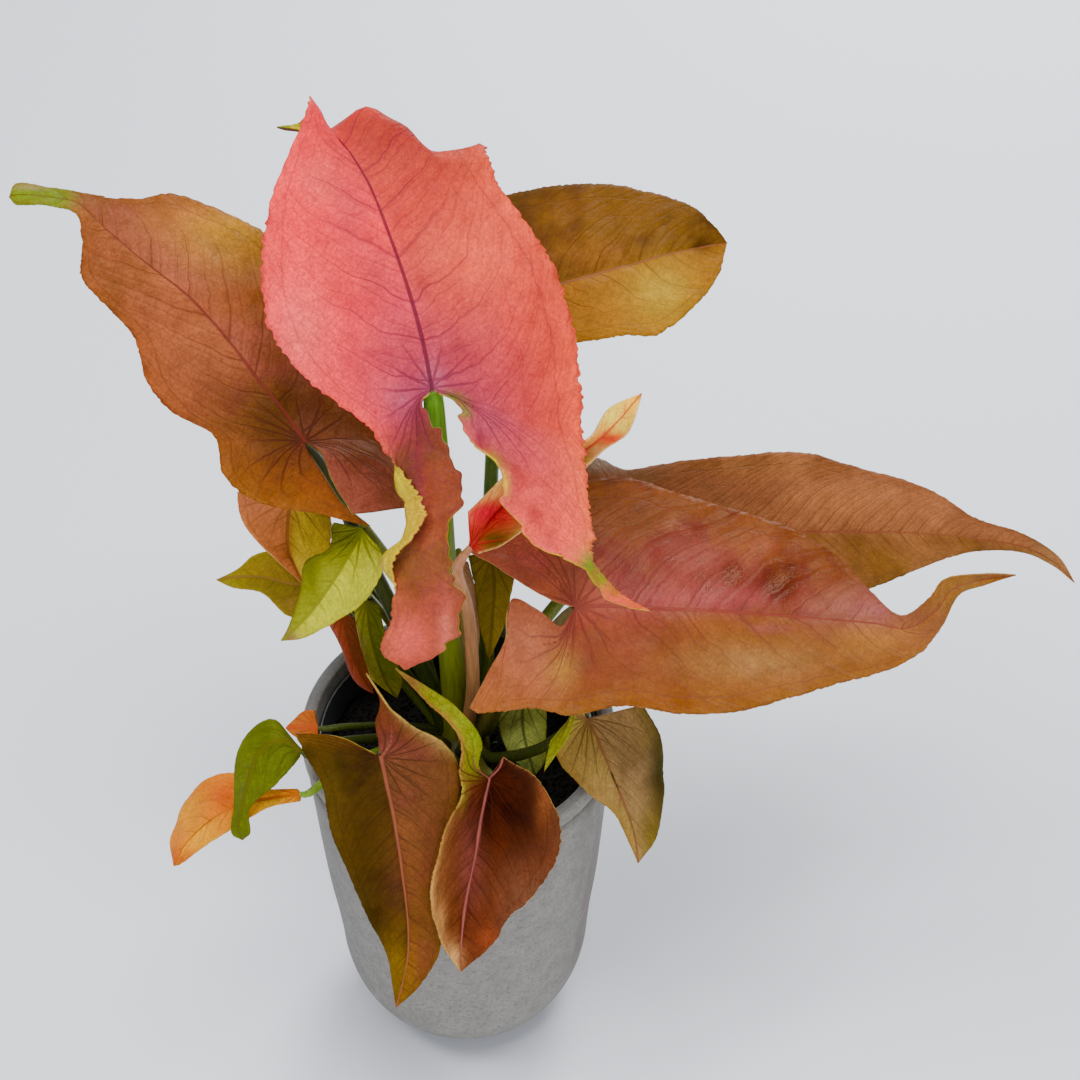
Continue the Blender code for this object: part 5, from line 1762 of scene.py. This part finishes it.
class PLANT_OT_leaves(bpy.types.Operator):
    """Make every leaf blade"""

    bl_idname = "plant.leaves"
    bl_label = "Make leaves"

    def execute(self, context):
        settings = context.scene.plant_leaf
        for name, blade in BLADES.items():
            parts = 2 if len(blade["midrib"]) < SMALL_BLADE else 1
            rows, steps = settings.rows // parts, settings.steps // parts
            make_blade(name, rows, steps, settings.thickness / MM)
        return {"FINISHED"}


def add_light(name, place, aim, size, power):
    """A round area light at a place, turned to what it aims at."""
    lamp = bpy.data.lights.new(name, "AREA")
    lamp.shape = "DISK"
    lamp.size = size
    lamp.energy = power
    light = added(name, lamp)
    light.location = place
    light.rotation_euler = (Vector(aim) - Vector(place)).to_track_quat("-Z", "Y").to_euler()


class PLANT_OT_stage(bpy.types.Operator):
    """Make the floor, the lights and the camera"""

    bl_idname = "plant.stage"
    bl_label = "Make stage"

    def execute(self, context):
        settings = context.scene.plant_stage
        scene = context.scene
        mesh = bpy.data.meshes.new("floor")
        corners = [(x * FLOOR_HALF, y * FLOOR_HALF, 0.0) for x, y in FLOOR_CORNERS]
        mesh.from_pydata(corners, [], [(0, 1, 2, 3)])
        # Matt paper: plain and pale, with no sheen to mirror the pot
        shade, _, shader = start_material("matt paper", roughness=0.9, ior=1.45)
        shader.inputs["Base Color"].default_value = opaque_of(settings.floor)
        mesh.materials.append(shade)
        floor = added("floor", mesh)
        for name, (place, aim, size) in LIGHTS.items():
            add_light(name, place, aim, size, getattr(settings, name))
        world = bpy.data.worlds.new("studio")
        world.use_nodes = True
        background = world.node_tree.nodes["Background"]
        background.inputs["Color"].default_value = SKY_TINT
        background.inputs["Strength"].default_value = settings.sky
        scene.world = world
        lens = bpy.data.cameras.new("camera")
        lens.sensor_fit = "HORIZONTAL"
        lens.sensor_width = SENSOR_WIDTH
        lens.lens = SENSOR_WIDTH * VIEW_REACH / (2.0 * VIEW_MIDDLE)
        camera = added("camera", lens)
        camera.location = tuple(EYE * MM)
        camera.rotation_euler = (VIEW_PITCH, 0.0, 0.0)
        scene.camera = camera
        return {"FINISHED"}


class PLANT_PT_panel(bpy.types.Panel):
    """The plant's sizes, colours and build steps"""

    bl_idname = "PLANT_PT_panel"
    bl_label = "Arrowhead plant"
    bl_space_type = "VIEW_3D"
    bl_region_type = "UI"
    bl_category = "Plant"

    def draw(self, context):
        for group, _ in GROUPS:
            settings = getattr(context.scene, group)
            for key in settings.__annotations__:
                self.layout.prop(settings, key)
        for operator in OPERATORS:
            self.layout.operator(operator.bl_idname)


GROUPS = (
    ("plant_pot", PotSettings), ("plant_leaf", LeafSettings), ("plant_soil", SoilSettings),
    ("plant_stage", StageSettings),
)
OPERATORS = (
    PLANT_OT_stage, PLANT_OT_pot, PLANT_OT_inner_pot, PLANT_OT_soil, PLANT_OT_stems,
    PLANT_OT_leaves,
)


def register():
    """Registers the settings, the operators and the panel."""
    for name, group in GROUPS:
        bpy.utils.register_class(group)
        setattr(bpy.types.Scene, name, PointerProperty(type=group))
    for kind in OPERATORS + (PLANT_PT_panel,):
        bpy.utils.register_class(kind)


def unregister():
    """Takes them away again, the last first."""
    for kind in reversed(OPERATORS + (PLANT_PT_panel,)):
        bpy.utils.unregister_class(kind)
    for name, group in reversed(GROUPS):
        delattr(bpy.types.Scene, name)
        bpy.utils.unregister_class(group)


def main():
    register()
    for operator in OPERATORS:
        family, name = operator.bl_idname.split(".")
        getattr(getattr(bpy.ops, family), name)()


if __name__ == "__main__":
    main()
